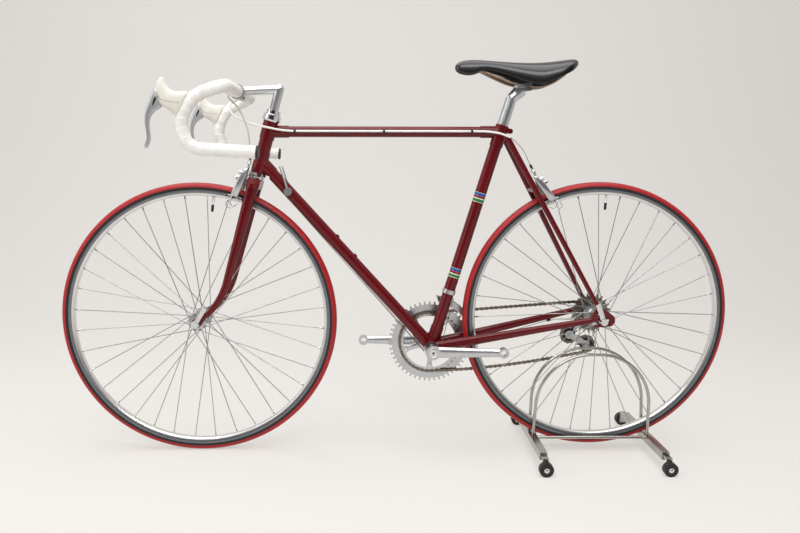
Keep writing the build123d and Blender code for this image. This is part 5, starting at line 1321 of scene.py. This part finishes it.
# ---------------------------------------------------------------------------- drivetrain
@dataclass
class Drivetrain:
    """Chain, sprockets, rings and cranks."""

    shop: Workshop
    pitch: float = 12.7
    plate_half: float = 4.1
    waist_half: float = 2.2
    plate: float = 0.9
    inner_gap: float = 2.9
    roller_r: float = 3.85
    bolt_circle: float = 65.0
    ring_y: tuple[float, float] = (-44.5, -49.5)
    outer_root: float = 101.0
    inner_root: float = 75.0
    arms: int = 5
    first_arm: float = 198.0

    def build(self) -> None:
        """Makes the links, bolts and caps, and dresses the rest."""
        self.chain()
        self.ring_bolts()
        self.dust_caps()
        shop = self.shop
        shop.dress(Paint.ALLOY, "left_crank", "right_crank")
        for name, root in (("outer_chainring", self.outer_root), ("inner_chainring", self.inner_root)):
            shop.dress(self.toothed_alloy(name, root), name)
        shop.dress(Paint.CHROME, "crank_spindle")
        shop.dress(Paint.CHAIN_STEEL, "freewheel_sprockets")
        shop.dress(Paint.RUBBER, "jockey_pulleys")
        shop.dress(Paint.ALLOY, "rear_derailleur", "front_derailleur", "shift_levers")

    def toothed_alloy(self, name: str, root: float) -> bpy.types.Material:
        """Alloy whose teeth show the chain's wear and dirt.

        Args:
            name: The ring's name.
            root: The radius at the foot of the teeth, in millimetres.

        Returns:
            The ring's material.
        """
        layout = self.shop.layout
        return WornTeeth(**{**vars(Paint.ALLOY.value), "name": f"{name}_alloy"},
                         centre=tuple(layout.placing() @ layout.bracket()), root_mm=root).make()

    def link_places(self) -> tuple[list[Matrix], list[Matrix]]:
        """Reads where the packed chain's links lie.

        Returns:
            The places of the inner and of the outer links: X along the link, Z across it.
        """
        shape = bmesh.new()
        shape.from_mesh(self.shop.nodes["chain"].data)
        bmesh.ops.remove_doubles(shape, verts=shape.verts[:], dist=1e-6)
        seen, plates = set(), []
        for first in shape.verts:
            if first.index in seen:
                continue
            stack, island = [first], []
            seen.add(first.index)
            while stack:
                here = stack.pop()
                island.append(here.co.copy())
                for edge in here.link_edges:
                    near = edge.other_vert(here)
                    if near.index not in seen:
                        seen.add(near.index)
                        stack.append(near)
            plates.append(island)
        shape.free()
        inner, outer = [], {}
        for island in plates:
            middle = sum(island, Vector()) / len(island)
            far = max(island, key=lambda point: (point - middle).length)
            along = self.long_axis(island, middle, far)
            width = max(abs(point.y - middle.y) for point in island)
            if width > 1.5 * MM:
                inner.append(self.link_matrix(middle, along))
            else:
                key = (round(middle.x / MM / 3), round(middle.z / MM / 3))
                near = next((k for k in outer if abs(k[0] - key[0]) <= 1 and abs(k[1] - key[1]) <= 1), key)
                outer.setdefault(near, []).append((middle, along))
        pairs = []
        for found in outer.values():
            middle = sum((place for place, _ in found), Vector()) / len(found)
            pairs.append(self.link_matrix(middle, found[0][1]))
        return inner, pairs

    @staticmethod
    def long_axis(island: Sequence[Vector], middle: Vector, guess: Vector) -> Vector:
        """The direction in which a plate is longest, found by turning a guess to it."""
        axis = (guess - middle).normalized()
        for _ in range(30):
            axis = sum(((point - middle) * (point - middle).dot(axis) for point in island), Vector()).normalized()
        return axis

    @staticmethod
    def link_matrix(middle: Vector, along: Vector) -> Matrix:
        """A link's place from its middle and its long axis."""
        upright = along.cross(Vector((0, 1, 0))).normalized()
        across = along.cross(upright).normalized()
        return Matrix.Translation(middle) @ Matrix((along, upright, across)).transposed().to_4x4()

    def plate_rings(self, low: float, high: float) -> list[list[Vector]]:
        """A waisted side plate between two heights, as an outline at each."""
        outline = []
        for end in (1, -1):
            for at in range(6):
                angle = math.radians(-75 + 30 * at)
                outline.append((end * (self.pitch / 2 + self.plate_half * math.cos(angle)),
                                end * self.plate_half * math.sin(angle)))
            outline.append((end * 0.0, end * self.waist_half))
        return [[Vector((x, y, z)) for x, y in outline] for z in (low, high)]

    def link_item(self, name: str, parts: Sequence[Sequence[Sequence[Vector]]]) -> bpy.types.Object:
        """One link at the origin, from its lofted parts."""
        points, faces = [], []
        for rings in parts:
            base, count = len(points), len(rings[0])
            points += [point for ring in rings for point in ring]
            for row in range(len(rings) - 1):
                for at in range(count):
                    beside = (at + 1) % count
                    faces.append([base + row * count + at, base + row * count + beside,
                                  base + (row + 1) * count + beside, base + (row + 1) * count + at])
            faces.append([base + at for at in range(count)])
            faces.append([base + (len(rings) - 1) * count + at for at in range(count)])
        return self.shop.mesh(name, points, faces, level=False)

    def barrel(self, x: float, radius: float, low: float, high: float, sides: int) -> list[list[Vector]]:
        """A roller or a rivet between two heights."""
        return [[Vector((x + radius * math.cos(TURN * at / sides), radius * math.sin(TURN * at / sides), z))
                 for at in range(sides)] for z in (low, high)]

    def chain(self) -> None:
        """Roller chain: waisted plates, rollers and rivet ends, one link at a time."""
        inner_places, outer_places = self.link_places()
        pattern = Pattern(self.shop)
        near, far = self.inner_gap / 2, self.inner_gap / 2 + self.plate
        out_near, out_far = far + 0.15, far + 0.15 + self.plate
        inner = [self.plate_rings(near, far), self.plate_rings(-far, -near)]
        inner += [self.barrel(end * self.pitch / 2, self.roller_r, -near, near, 10) for end in (1, -1)]
        outer = [self.plate_rings(out_near, out_far), self.plate_rings(-out_far, -out_near)]
        outer += [self.barrel(end * self.pitch / 2, 1.7, side * out_far - 0.35, side * out_far + 0.35, 8)
                  for end in (1, -1) for side in (1, -1)]
        piece = pattern.repeat("chain_inner_links", self.link_item("inner_link", inner), inner_places,
                               Paint.CHAIN_STEEL)
        self.shop.finish(piece, Paint.CHAIN_STEEL, Body.FRAME, "chain", slot="sprocket_steel")
        piece = pattern.repeat("chain_outer_links", self.link_item("outer_link", outer), outer_places,
                               Paint.CHAIN_STEEL)
        self.shop.finish(piece, Paint.CHAIN_STEEL, Body.FRAME, slot="sprocket_steel")

    def ring_bolts(self) -> None:
        """Five bolts hold both rings to the spider: heads outside and slotted nuts inside."""
        place = self.shop.layout.placing()
        turn_only = place.to_3x3().normalized()
        places = []
        for arm in range(self.arms):
            angle = math.radians(arm * 360 / self.arms + self.first_arm)
            out = Vector((math.cos(angle), 0, math.sin(angle))) * self.bolt_circle
            for y, way in ((self.ring_y[1] - 1.1, -1), (self.ring_y[0] + 1.1, 1)):
                point = place @ (self.shop.layout.bracket() + out + Vector((0, y, 0)))
                places.append(facing(point, turn_only @ Vector((0, way, 0)), Vector((1, 0, 0))))
        pattern = Pattern(self.shop)
        bolt = pattern.item("ring_bolt", ((0.01, -0.5), (5.0, -0.4), (5.0, 0.5), (4.4, 1.3), (2.7, 1.4),
                                          (2.5, 0.4), (0.01, 0.3)), 16)
        piece = pattern.repeat("chainring_bolts", bolt, places, Paint.CHROME)
        self.shop.finish(piece, Paint.CHROME, Body.CRANKSET)

    def dust_caps(self) -> None:
        """A ringed cap over each crank bolt, with a black hexagon as painted shade in its socket."""
        cap = [(3.0, -1.0), (3.0, 0.9), (6.4, 1.2), (6.8, 0.7), (9.2, 0.7), (9.7, 1.3), (11.4, 1.1), (11.9, 0.3),
               (11.9, -1.0)]
        socket = [(0.0, -1.0), (3.0, -1.0), (3.0, 0.1), (0.0, 0.1)]
        for side, word in SIDES:
            face, out = self.shop.layout.bracket() + Vector((0, side * 69.0, 0)), Vector((0, side, 0))
            self.shop.turned(f"{word}_dust_cap", cap, face, out, 40, Paint.CHROME, Body.CRANKSET)
            # The black hexagon is painted shade in the cap's socket.
            self.shop.turned(f"{word}_cap_socket", socket, face, out, 6, Paint.RUBBER, Body.CRANKSET)


# -------------------------------------------------------------------------------- brakes
@dataclass
class Caliper:
    """A side-pull caliper: two forged arms on one bolt, pads in holders and a barrel adjuster.

    Attributes:
        shop: The workshop.
        name: "front" or "rear".
        body: The body that it rides on.
        wheel: The wheel that it grips.
        origin: The centre bolt where it meets the frame.
        up: The way up the fork or the stays.
        out: The way that the bolt points.
        barrel_out: How far out the barrel stands.
        boot: The length of the rubber boot on the cable.
    """

    shop: Workshop
    name: str
    body: Body
    wheel: Body
    origin: Vector
    up: Vector
    out: Vector
    barrel_out: float
    boot: float
    grip_r: float = 313.0
    rim_half: float = 10.0
    pad_centre: float = 20.0
    pad_half: float = 21.0
    arm_left: float = 33.0
    barrel_up: float = 38.0
    side_arm: tuple[tuple[float, float, float, float, float], ...] = (
        (32.0, 31.0, 6.5, 2.6, 2.6), (32.6, 25.0, 8.4, 5.0, 3.2), (33.4, 12.0, 11.5, 7.2, 3.6),
        (34.0, -2.0, 14.0, 8.2, 3.8), (33.6, -16.0, 16.0, 8.0, 3.8), (32.2, -28.0, 18.2, 8.8, 3.7),
        (29.6, -39.0, 20.5, 9.6, 3.4), (26.4, -47.0, 21.5, 8.2, 3.0), (24.6, -53.0, 21.8, 5.2, 2.6),
    )

    def at(self, left: float, up: float, out: float) -> Vector:
        """A point measured from the centre bolt."""
        return self.origin + Vector((0, left, 0)) + self.up * up + self.out * out

    def cable_entry(self) -> Vector:
        """The top of the barrel adjuster."""
        return self.at(self.arm_left - 1.5, self.barrel_up + 13.0, self.barrel_out)

    def up_to_rim(self, out: float) -> float:
        """How far up the brake track's middle lies, at a distance out."""
        offset = self.origin - self.shop.layout.axle(self.wheel)
        return math.sqrt(self.grip_r**2 - (offset.dot(self.out) + out) ** 2) - offset.dot(self.up)

    def build(self) -> None:
        """Makes arms, bolt, barrel, spring and pads."""
        self.arms()
        self.fittings()
        for side, word in SIDES:
            self.pad(side, word)

    def arms(self) -> None:
        """Both forged arms; the far one reaches across to carry the barrel."""
        shop, replaced = self.shop, (f"{self.name}_brake",)
        for side, word, layer in ((1, "left", 16.5), (-1, "right", 9.0)):
            rings = [oval(self.at(side * left, up, out), Vector((0, thick, 0)), self.out * deep, 20, 2.8)
                     for left, up, out, deep, thick in (self.side_arm if side > 0 else self.side_arm[3:])]
            shop.moulded(f"{self.name}_{word}_arm", rings, 60, 1, Paint.ALLOY, self.body, *replaced,
                         slot="polished_alloy")
            replaced = ()
            bridge = [oval(self.at(side * left, up, layer), self.up * high, self.out * 3.0, 20, 2.8)
                      for left, up, high in ((-11, 0.5, 3.0), (-8, 0.5, 6.5), (0, 0, 8.6), (12, -1, 7.4),
                                             (23, -2.5, 6.8), (34, -5, 7.4), (36.4, -6, 5.0))]
            shop.moulded(f"{self.name}_{word}_bridge", bridge, 60, 1, Paint.ALLOY, self.body)
        slant = (self.up - Vector((0, 0.8, 0))).normalized()
        reach = [oval(self.at(left, up, out), slant * wide, self.out * 2.8, 20, 2.8)
                 for left, up, out, wide in ((-2, 0, 9, 5.5), (9, 10, 8.4, 5.6), (20, 22, self.barrel_out + 1, 5.0),
                                             (28, 32, self.barrel_out, 5.2), (33.5, 38.5, self.barrel_out, 4.6))]
        shop.moulded(f"{self.name}_cable_arm", reach, 60, 1, Paint.ALLOY, self.body)

    def fittings(self) -> None:
        """Centre bolt with its coned nut, barrel, boot, cable clamp and spring."""
        shop = self.shop
        bolt = [(0.0, -6.0), (4.0, -6.0), (4.0, 20.0), (7.2, 20.2), (7.2, 22.6), (5.4, 23.2),
                (5.6, 24.2), (7.0, 24.8), (6.6, 27.5), (4.2, 33.5), (1.6, 37.6), (0.0, 38.2)]
        foot = self.at(self.arm_left - 1.5, self.barrel_up, self.barrel_out)
        barrel = [(0.0, -5.0), (3.4, -5.0), (3.4, 1.8), (5.2, 2.2), (5.4, 3.0)]
        barrel += [(5.4 if turn % 2 else 5.0, 3.0 + turn * 0.8) for turn in range(1, 7)]
        barrel += [(5.0, 8.6), (3.4, 9.2), (3.2, 12.4), (2.4, 13.0), (0.0, 13.0)]
        boot = [(0.0, 12.6), (2.9, 12.6), (3.5, 14.5), (3.2, 12.6 + self.boot * 0.5), (2.3, 12.6 + self.boot),
                (0.0, 12.7 + self.boot)]
        clamp = [(0.0, -7.0), (3.2, -7.0), (3.2, 0.0), (6.0, 0.0), (6.0, 1.2), (5.0, 1.5), (5.0, 5.0), (4.2, 6.0),
                 (0.0, 6.2)]
        clamp_at = self.at(self.arm_left, 17.0, 17.0)
        for word, profile, centre, axis, steps, paint in (
            ("centre_bolt", bolt, self.at(0, 0, 0), self.out, 28, Paint.CHROME),
            ("barrel", barrel, foot, self.up, 24, Paint.CHROME),
            ("cable_boot", boot, foot, self.up, 20, Paint.RUBBER),
            ("cable_clamp", clamp, clamp_at, self.out, 18, Paint.CHROME),
        ):
            shop.turned(f"{self.name}_{word}", profile, centre, axis, steps, paint, self.body)
        wire = [self.at(-25, -22, 6), self.at(-20, 9, 4), self.at(0, 15, 4), self.at(20, 9, 4), self.at(25, -22, 6)]
        self.wire("brake_spring", wire, (7.0, 14.0, 7.0), 1.1, Paint.STAINLESS)

    def wire(self, word: str, corners: Sequence[Vector], bends: Sequence[float], radius: float, paint: Paint) -> None:
        """A piece of bent wire.

        Args:
            word: The end of the piece's name.
            corners: Its corners, with both ends.
            bends: A bend radius for each inner corner.
            radius: The wire's radius.
            paint: The finish.
        """
        piece = self.shop.tube(f"{self.name}_{word}", bent(corners, bends, 1.5), lambda along, angle: radius, 10)
        self.shop.finish(piece, paint, self.body)

    def pad(self, side: int, word: str) -> None:
        """One pad in its holder, its bolt and the wire that guides the wheel in.

        Args:
            side: 1 for the left pad, -1 for the right.
            word: The side's name.
        """
        shop = self.shop
        replaced = (f"{self.name}_brake_pads",) if side > 0 else ()
        wheel = shop.layout.axle(self.wheel)
        for label, inner, thick, high, shorter, paint in (("pad", 0.6, 3.3, 5.0, 0, Paint.RUBBER),
                                                          ("holder", 6.4, 1.9, 5.6, -3.0, Paint.ALLOY)):
            rings = []
            for step in range(15):
                share = step / 7 - 1
                out = self.pad_centre + share * (self.pad_half + shorter)
                middle = self.at(side * (self.rim_half + inner + thick), self.up_to_rim(out), out)
                rise = (middle - Vector((0, middle.y, 0)) - wheel).normalized()
                taper = 1 - abs(share) ** 6 * 0.45
                rings.append(oval(middle, Vector((0, thick, 0)), rise * high * taper, 16, 4.0))
            piece = shop.loft(f"{self.name}_{word}_{label}", rings, sharp=50)
            shop.finish(piece, paint, self.body, *replaced)
            replaced = ()
        middle = self.at(side * (self.rim_half + 10.2), self.up_to_rim(self.pad_centre), self.pad_centre)
        nut = [(0.0, -2.0), (6.2, -2.0), (6.4, 1.0), (7.4, 1.2), (7.4, 2.8), (5.6, 3.2), (5.6, 10.4), (5.0, 11.2),
               (2.6, 11.4), (2.4, 13.4), (0.0, 13.6)]
        shop.turned(f"{self.name}_{word}_pad_bolt", nut, middle, Vector((0, side, 0)), 18, Paint.CHROME, self.body)
        low = self.up_to_rim(self.pad_centre)
        wire = [self.at(side * 22, low + 2, 24), self.at(side * 26, low - 10, 34), self.at(side * 27, low - 22, 36),
                self.at(side * 24, low - 27, 24), self.at(side * 19, low - 17, 15)]
        self.wire(f"{word}_wheel_guide", wire, (6.0, 6.0, 6.0), 1.2, Paint.CHROME)


# -------------------------------------------------------------------------------- cables
@dataclass
class Cables:
    """Brake cables drawn from the bar to the calipers' own barrels, and the bare gear cables."""

    shop: Workshop
    front_caliper: Caliper
    rear_caliper: Caliper
    housing_y: float = 15.5
    housing_z: float = 789.0
    thick: float = 2.5
    slim: float = 2.0
    strand: float = 0.8
    clip_places: tuple[float, ...] = (249.0, 38.0, -172.0)

    def build(self) -> None:
        """Makes the housings as smooth curves and dresses the bare cables."""
        here = self.shop.layout.bar_centre()
        free = [here + Vector(p) for p in ((11.9, -62, -11.9), (15.9, -38, -16.9), (26, -20, -26), (22, 0, -42),
                                           (8, 16, -56), (-14, 26, -68), (-39, 29.5, -76), (-67, 27.5, -81.5))]
        free += [Vector((288, 21, self.housing_z + 3)), Vector((269, self.housing_y + 2.2, self.housing_z + 1)),
                 Vector((253.6, self.housing_y, self.housing_z))]
        self.free_span(free)
        run = [Vector((x, self.housing_y, self.housing_z)) for x in (253, 160, 38, -90, -160, -184)]
        run += [Vector(p) for p in ((-206, 19.5, 788.5), (-224, 26, 786.5), (-243, 31, 782.5), (-262, 31.5, 774.5))]
        self.curve("rear_brake_housing_line", run, self.thick, Paint.HOUSING, Body.FRAME, "rear_brake_housing",
                   "cable_housing")
        front = [here + Vector(p) for p in ((12, 62, -12), (17, 44, -17), (8, 35, -24), (-4, 32, -38),
                                            (-16, 31.5, -62), (-25, 31.5, -92), (-27.7, 31.5, -125))]
        front.append(self.front_caliper.cable_entry())
        self.curve("front_brake_housing_line", front, self.slim, Paint.AGED_HOUSING, Body.STEERING,
                   "front_brake_housing", "cable_housing")
        bare = [Vector(p) for p in ((-262.4, 31.5, 774.3), (-279, 32, 761), (-296, 32, 741))]
        end = self.rear_caliper.cable_entry()
        bare += [end + self.rear_caliper.up * 16, end]
        self.curve("rear_brake_bare_cable", bare, self.strand, Paint.STRAND, Body.FRAME, "rear_brake_cable",
                   "inner_cable")
        self.shop.dress(Paint.STRAND, "shift_cables")
        self.shop.dress(Paint.HOUSING, "shift_housing")
        self.clips()

    def clips(self) -> None:
        """Small black clips that hold the housing to the top tube."""
        ring = [(2.4, -2.6), (3.5, -2.6), (3.9, -1.8), (3.9, 1.8), (3.5, 2.6), (2.4, 2.6)]
        replaced = ("cable_clips",)
        for count, along in enumerate(self.clip_places):
            self.shop.turned(f"housing_clip_{count + 1}", ring, Vector((along, self.housing_y, self.housing_z)),
                             Vector((1, 0, 0)), 20, Paint.RUBBER, Body.FRAME, *replaced)
            replaced = ()

    def line(self, name: str, points: Sequence[Vector], radius: float) -> bpy.types.Object:
        """A smooth round cable on a NURBS spline whose control points are the route's.

        Args:
            name: The piece's name.
            points: The route.
            radius: The cable's radius in millimetres.

        Returns:
            The curve object.
        """
        place = self.shop.layout.placing()
        data = bpy.data.curves.new(name, "CURVE")
        data.dimensions = "3D"
        data.bevel_depth = radius * MM
        data.bevel_resolution = 4
        data.resolution_u = 12
        data.use_fill_caps = True
        spline = data.splines.new("NURBS")
        spline.points.add(len(points) - 1)
        for at, point in enumerate(points):
            spline.points[at].co = (*(place @ point), 1.0)
        spline.order_u = 3
        spline.use_endpoint_u = True
        return linked(name, data)

    def curve(self, name: str, points: Sequence[Vector], radius: float, paint: Paint, body: Body, node: str,
              slot: str) -> None:
        """A held cable in place of its packed node."""
        self.shop.finish(self.line(name, points, radius), paint, body, node, slot=slot)

    def free_span(self, points: Sequence[Vector]) -> None:
        """The rear brake's housing between the bar and the top tube, as a plain mesh on no body.

        Args:
            points: The route from the bar to the first clip.
        """
        line = self.line("free_span_line", points, self.thick)
        mesh = evaluated(line)
        bpy.data.objects.remove(line)
        piece = linked("rear_brake_housing_span", mesh)
        mesh.materials.clear()
        mesh.materials.append(Paint.HOUSING.material())
        place = self.shop.layout.placing()
        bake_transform(piece)
        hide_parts("rear_brake_housing_free")
        LOG.info("%s bends between the steering and the frame", piece.name)


# --------------------------------------------------------------------- frame and the rest
@dataclass
class FrameSet:
    """Painted frame and fork, with the chromed headset, cups and axles."""

    shop: Workshop
    ring_colours: tuple[tuple[float, float, str], ...] = (
        (0.0, 1.4, "#D9D2C4"), (1.4, 8.2, "#2D7A45"), (8.2, 11.0, "#E3DDBE"), (11.0, 13.4, "#17100F"),
        (13.4, 16.2, "#B5262A"), (16.2, 23.4, "#2A5CA0"), (23.4, 24.4, "#C9C4BC"),
    )
    ring_feet: tuple[float, float] = (377.0, 183.5)

    def build(self) -> None:
        """Dresses the frame's nodes, and the seat tube with its painted rings."""
        shop = self.shop
        shop.dress(Paint.ENAMEL, "head_tube", "top_tube", "down_tube", "head_lugs", "seat_lug",
                   "bottom_bracket_shell", "chainstays", "seat_stays", "dropouts", "stay_bridges", "fork_crown",
                   "fork_blades", "bottle_bosses")
        shop.dress(self.ringed_enamel(), "seat_tube")
        shop.dress(Paint.CHROME, "bearing_cups", "headset_races", "front_axle", "rear_axle")

    def ringed_enamel(self) -> bpy.types.Material:
        """The enamel of the seat tube with its two groups of painted rings."""
        layout = self.shop.layout
        place = layout.placing()
        foot, up = place @ layout.on_seat(0), place.to_3x3().normalized() @ (layout.on_seat(1) - layout.on_seat(0))
        bands = tuple((start + low, start + high, code) for start in self.ring_feet
                      for low, high, code in self.ring_colours)
        return StripedEnamel(**{**vars(Paint.ENAMEL.value), "name": "ringed_wine_enamel"}, foot=tuple(foot),
                             axis=tuple(up), bands=bands).make()


@dataclass
class DisplayStand:
    """The polished stand that holds the rear wheel between two wire hoops."""

    shop: Workshop
    bar_spacing: float = 296.0
    width: float = 356.0
    foot_r: float = 17.0

    def build(self) -> None:
        """Dresses the stand and bolts its feet on."""
        self.shop.dress(Paint.STAND_STEEL, "stand_foot_bars", "stand_hoops")
        self.shop.dress(Paint.RUBBER, "stand_feet")
        pattern = Pattern(self.shop)
        middle = self.shop.layout.rear.x
        places = []
        for front in (1, -1):
            for side in (1, -1):
                point = Vector((middle + front * self.bar_spacing / 2 * MM, side * self.width / 2 * MM,
                                self.foot_r * MM))
                places.append(facing(point, Vector((0, side, 0)), Vector((1, 0, 0))))
        bolt = pattern.item("foot_bolt", ((0.01, -1.0), (6.4, -1.0), (6.4, 0.5), (5.9, 0.8), (4.2, 0.8),
                                          (3.9, 2.4), (2.6, 3.3), (0.01, 3.6)), 24)
        piece = pattern.repeat("stand_foot_bolts", bolt, places, Paint.CHROME)
        self.shop.finish(piece, Paint.CHROME, Body.FRAME)


# -------------------------------------------------------------------------------- studio
@dataclass
class Studio:
    """Pale floor and backdrop, soft lamps and the camera."""

    camera_at: tuple[float, float, float] = (0.0792, 1.7715, 0.7287)
    camera_way: tuple[float, float, float] = (-0.04332, -0.98853, -0.14469)
    camera_right: tuple[float, float, float] = (-0.99901, 0.0414, 0.01631)
    lens_mm: float = 32.71
    pale: str = "#EFECE8"
    glow: float = 0.55
    world_base: float = 0.5
    world_seen: float = 0.45

    def build(self) -> None:
        """Sets everything up."""
        self.camera()
        self.sweep()
        self.lamps()
        self.world()

    def camera(self) -> None:
        """A level camera on the bicycle's left, a little above the middle of its wheels."""
        data = bpy.data.cameras.new("camera")
        data.lens = self.lens_mm
        data.sensor_width = 36.0
        way, right = Vector(self.camera_way).normalized(), Vector(self.camera_right).normalized()
        up = right.cross(way)
        turn = Matrix((right, up, -way)).transposed().to_4x4()
        camera = linked("camera", data)
        camera.matrix_world = Matrix.Translation(self.camera_at) @ turn
        bpy.context.scene.camera = camera

    def sweep(self) -> None:
        """Floor and backdrop in one curved sheet."""
        radius, back, half = 1.4, -1.2, 7.0
        line = [(6.0, 0.0), (back, 0.0)]
        for at in range(1, 17):
            angle = math.pi / 2 * at / 16
            line.append((back - radius * math.sin(angle), radius * (1 - math.cos(angle))))
        line.append((back - radius, 5.0))
        points = [(x, y, z) for y, z in line for x in (-half, half)]
        faces = [(at * 2, at * 2 + 1, at * 2 + 3, at * 2 + 2) for at in range(len(line) - 1)]
        mesh = bpy.data.meshes.new("studio_sweep")
        mesh.from_pydata(points, [], faces)
        mesh.shade_smooth()
        sheet = linked("studio_sweep", mesh)
        mesh.materials.append(self.sheet_material())

    def seen(self, tree: bpy.types.NodeTree) -> bpy.types.NodeSocket:
        """One for rays that the eye, gloss or glass sends, and zero for the light's own."""
        ray = add_node(tree, "ShaderNodeLightPath").outputs
        either = add_node(tree, "ShaderNodeMath", {0: ray["Is Camera Ray"], 1: ray["Is Glossy Ray"]},
                          operation="MAXIMUM")
        return add_node(tree, "ShaderNodeMath", {0: either.outputs["Value"], 1: ray["Is Transmission Ray"]},
                        operation="MAXIMUM").outputs["Value"]

    def sheet_material(self) -> bpy.types.Material:
        """Matt pale paper that partly glows to the eye, so that it stays even and keeps its shadows."""
        material = bpy.data.materials.new("pale_paper")
        tree = cleared(material)
        matt = add_node(tree, "ShaderNodeBsdfDiffuse", {"Color": linear("#E4E0DB")})
        shine = add_node(tree, "ShaderNodeEmission", {"Color": linear(self.pale), "Strength": 1.0})
        share = add_node(tree, "ShaderNodeMath", {0: self.seen(tree), 1: self.glow}, operation="MULTIPLY")
        mixed = add_node(tree, "ShaderNodeMixShader",
                         {0: share.outputs["Value"], 1: matt.outputs["BSDF"], 2: shine.outputs["Emission"]})
        add_node(tree, "ShaderNodeOutputMaterial", {"Surface": mixed.outputs["Shader"]})
        return material

    def lamps(self) -> None:
        """A broad softbox overhead, a fill beside the camera and a low rim light."""
        for name, at, aim, width, height, power in (
            ("overhead", (0.2, 0.3, 2.8), (0.0, -0.2, 0.3), 3.6, 2.2, 70.0),
            ("front", (0.4, 2.9, 2.7), (0.0, 0.0, 0.5), 3.0, 0.9, 62.0),
            ("side", (2.6, 1.2, 1.4), (0.0, 0.0, 0.5), 0.8, 1.8, 12.0),
        ):
            data = bpy.data.lights.new(name, "AREA")
            data.shape = "RECTANGLE"
            data.size, data.size_y, data.energy = width, height, power
            lamp = linked(name, data)
            lamp.location = at
            lamp.rotation_euler = (Vector(aim) - Vector(at)).to_track_quat("-Z", "Y").to_euler()

    def world(self) -> None:
        """Soft light from all round, dimmer behind the camera, and pale where it is seen."""
        world = bpy.data.worlds.new("studio")
        bpy.context.scene.world = world
        tree = cleared(world)
        way = add_node(tree, "ShaderNodeTexCoord").outputs["Generated"]
        parts = add_node(tree, "ShaderNodeSeparateXYZ", {0: way}).outputs
        dark = add_node(tree, "ShaderNodeMapRange",
                        {"Value": parts["Y"], "From Min": 0.1, "From Max": 0.6, "To Min": 0.0, "To Max": 1.0})
        tone = add_node(tree, "ShaderNodeMix",
                        {"Factor": dark.outputs["Result"], 6: linear("#ECEAE7"), 7: linear("#3A3A3D")},
                        data_type="RGBA")
        shown = add_node(tree, "ShaderNodeMath", {0: self.seen(tree), 1: self.world_seen}, operation="MULTIPLY")
        strength = add_node(tree, "ShaderNodeMath", {0: shown.outputs["Value"], 1: self.world_base}, operation="ADD")
        light = add_node(tree, "ShaderNodeBackground",
                         {"Color": tone.outputs[2], "Strength": strength.outputs["Value"]})
        add_node(tree, "ShaderNodeOutputWorld", {"Surface": light.outputs["Background"]})


def main() -> None:
    """Builds the looks round the packed frame, sub-assembly by sub-assembly."""
    logging.basicConfig(level=logging.INFO, format="%(name)s: %(message)s")
    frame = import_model()
    bpy.context.scene.view_settings.view_transform = "Standard"
    axles = []
    for node in ("front_tyre", "rear_tyre"):
        low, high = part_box(node)
        axles.append((low + high) / 2)
    shop = Workshop(Layout(*axles), frame["nodes"])
    Studio().build()
    FrameSet(shop).build()
    Wheel(shop, Body.FRONT_WHEEL, 98.0, 5.0, 35.0, -35.0).build()
    Wheel(shop, Body.REAR_WHEEL, 93.5, 0.0, 32.0, -20.0).build()
    Cockpit(shop).build()
    Saddle(shop).build()
    Drivetrain(shop).build()
    layout = shop.layout
    front_caliper = Caliper(shop, "front", Body.STEERING, Body.FRONT_WHEEL,
                            layout.on_steering(layout.fork_length - layout.caliper_drop, 15.6),
                            layout.steering_axis(), layout.steering_forward(), 5.0, 26.0)
    rear_bolt = layout.axle(Body.REAR_WHEEL) + Vector((layout.bridge[0], 0, layout.bridge[1]))
    rear_caliper = Caliper(shop, "rear", Body.FRAME, Body.REAR_WHEEL, rear_bolt + layout.stay_back() * 6.6,
                           layout.stay_up(), layout.stay_back(), 10.0, 9.0)
    front_caliper.build()
    rear_caliper.build()
    Cables(shop, front_caliper, rear_caliper).build()
    DisplayStand(shop).build()
    LOG.info("%d pieces placed", shop.placed)


if __name__ == "__main__":
    main()
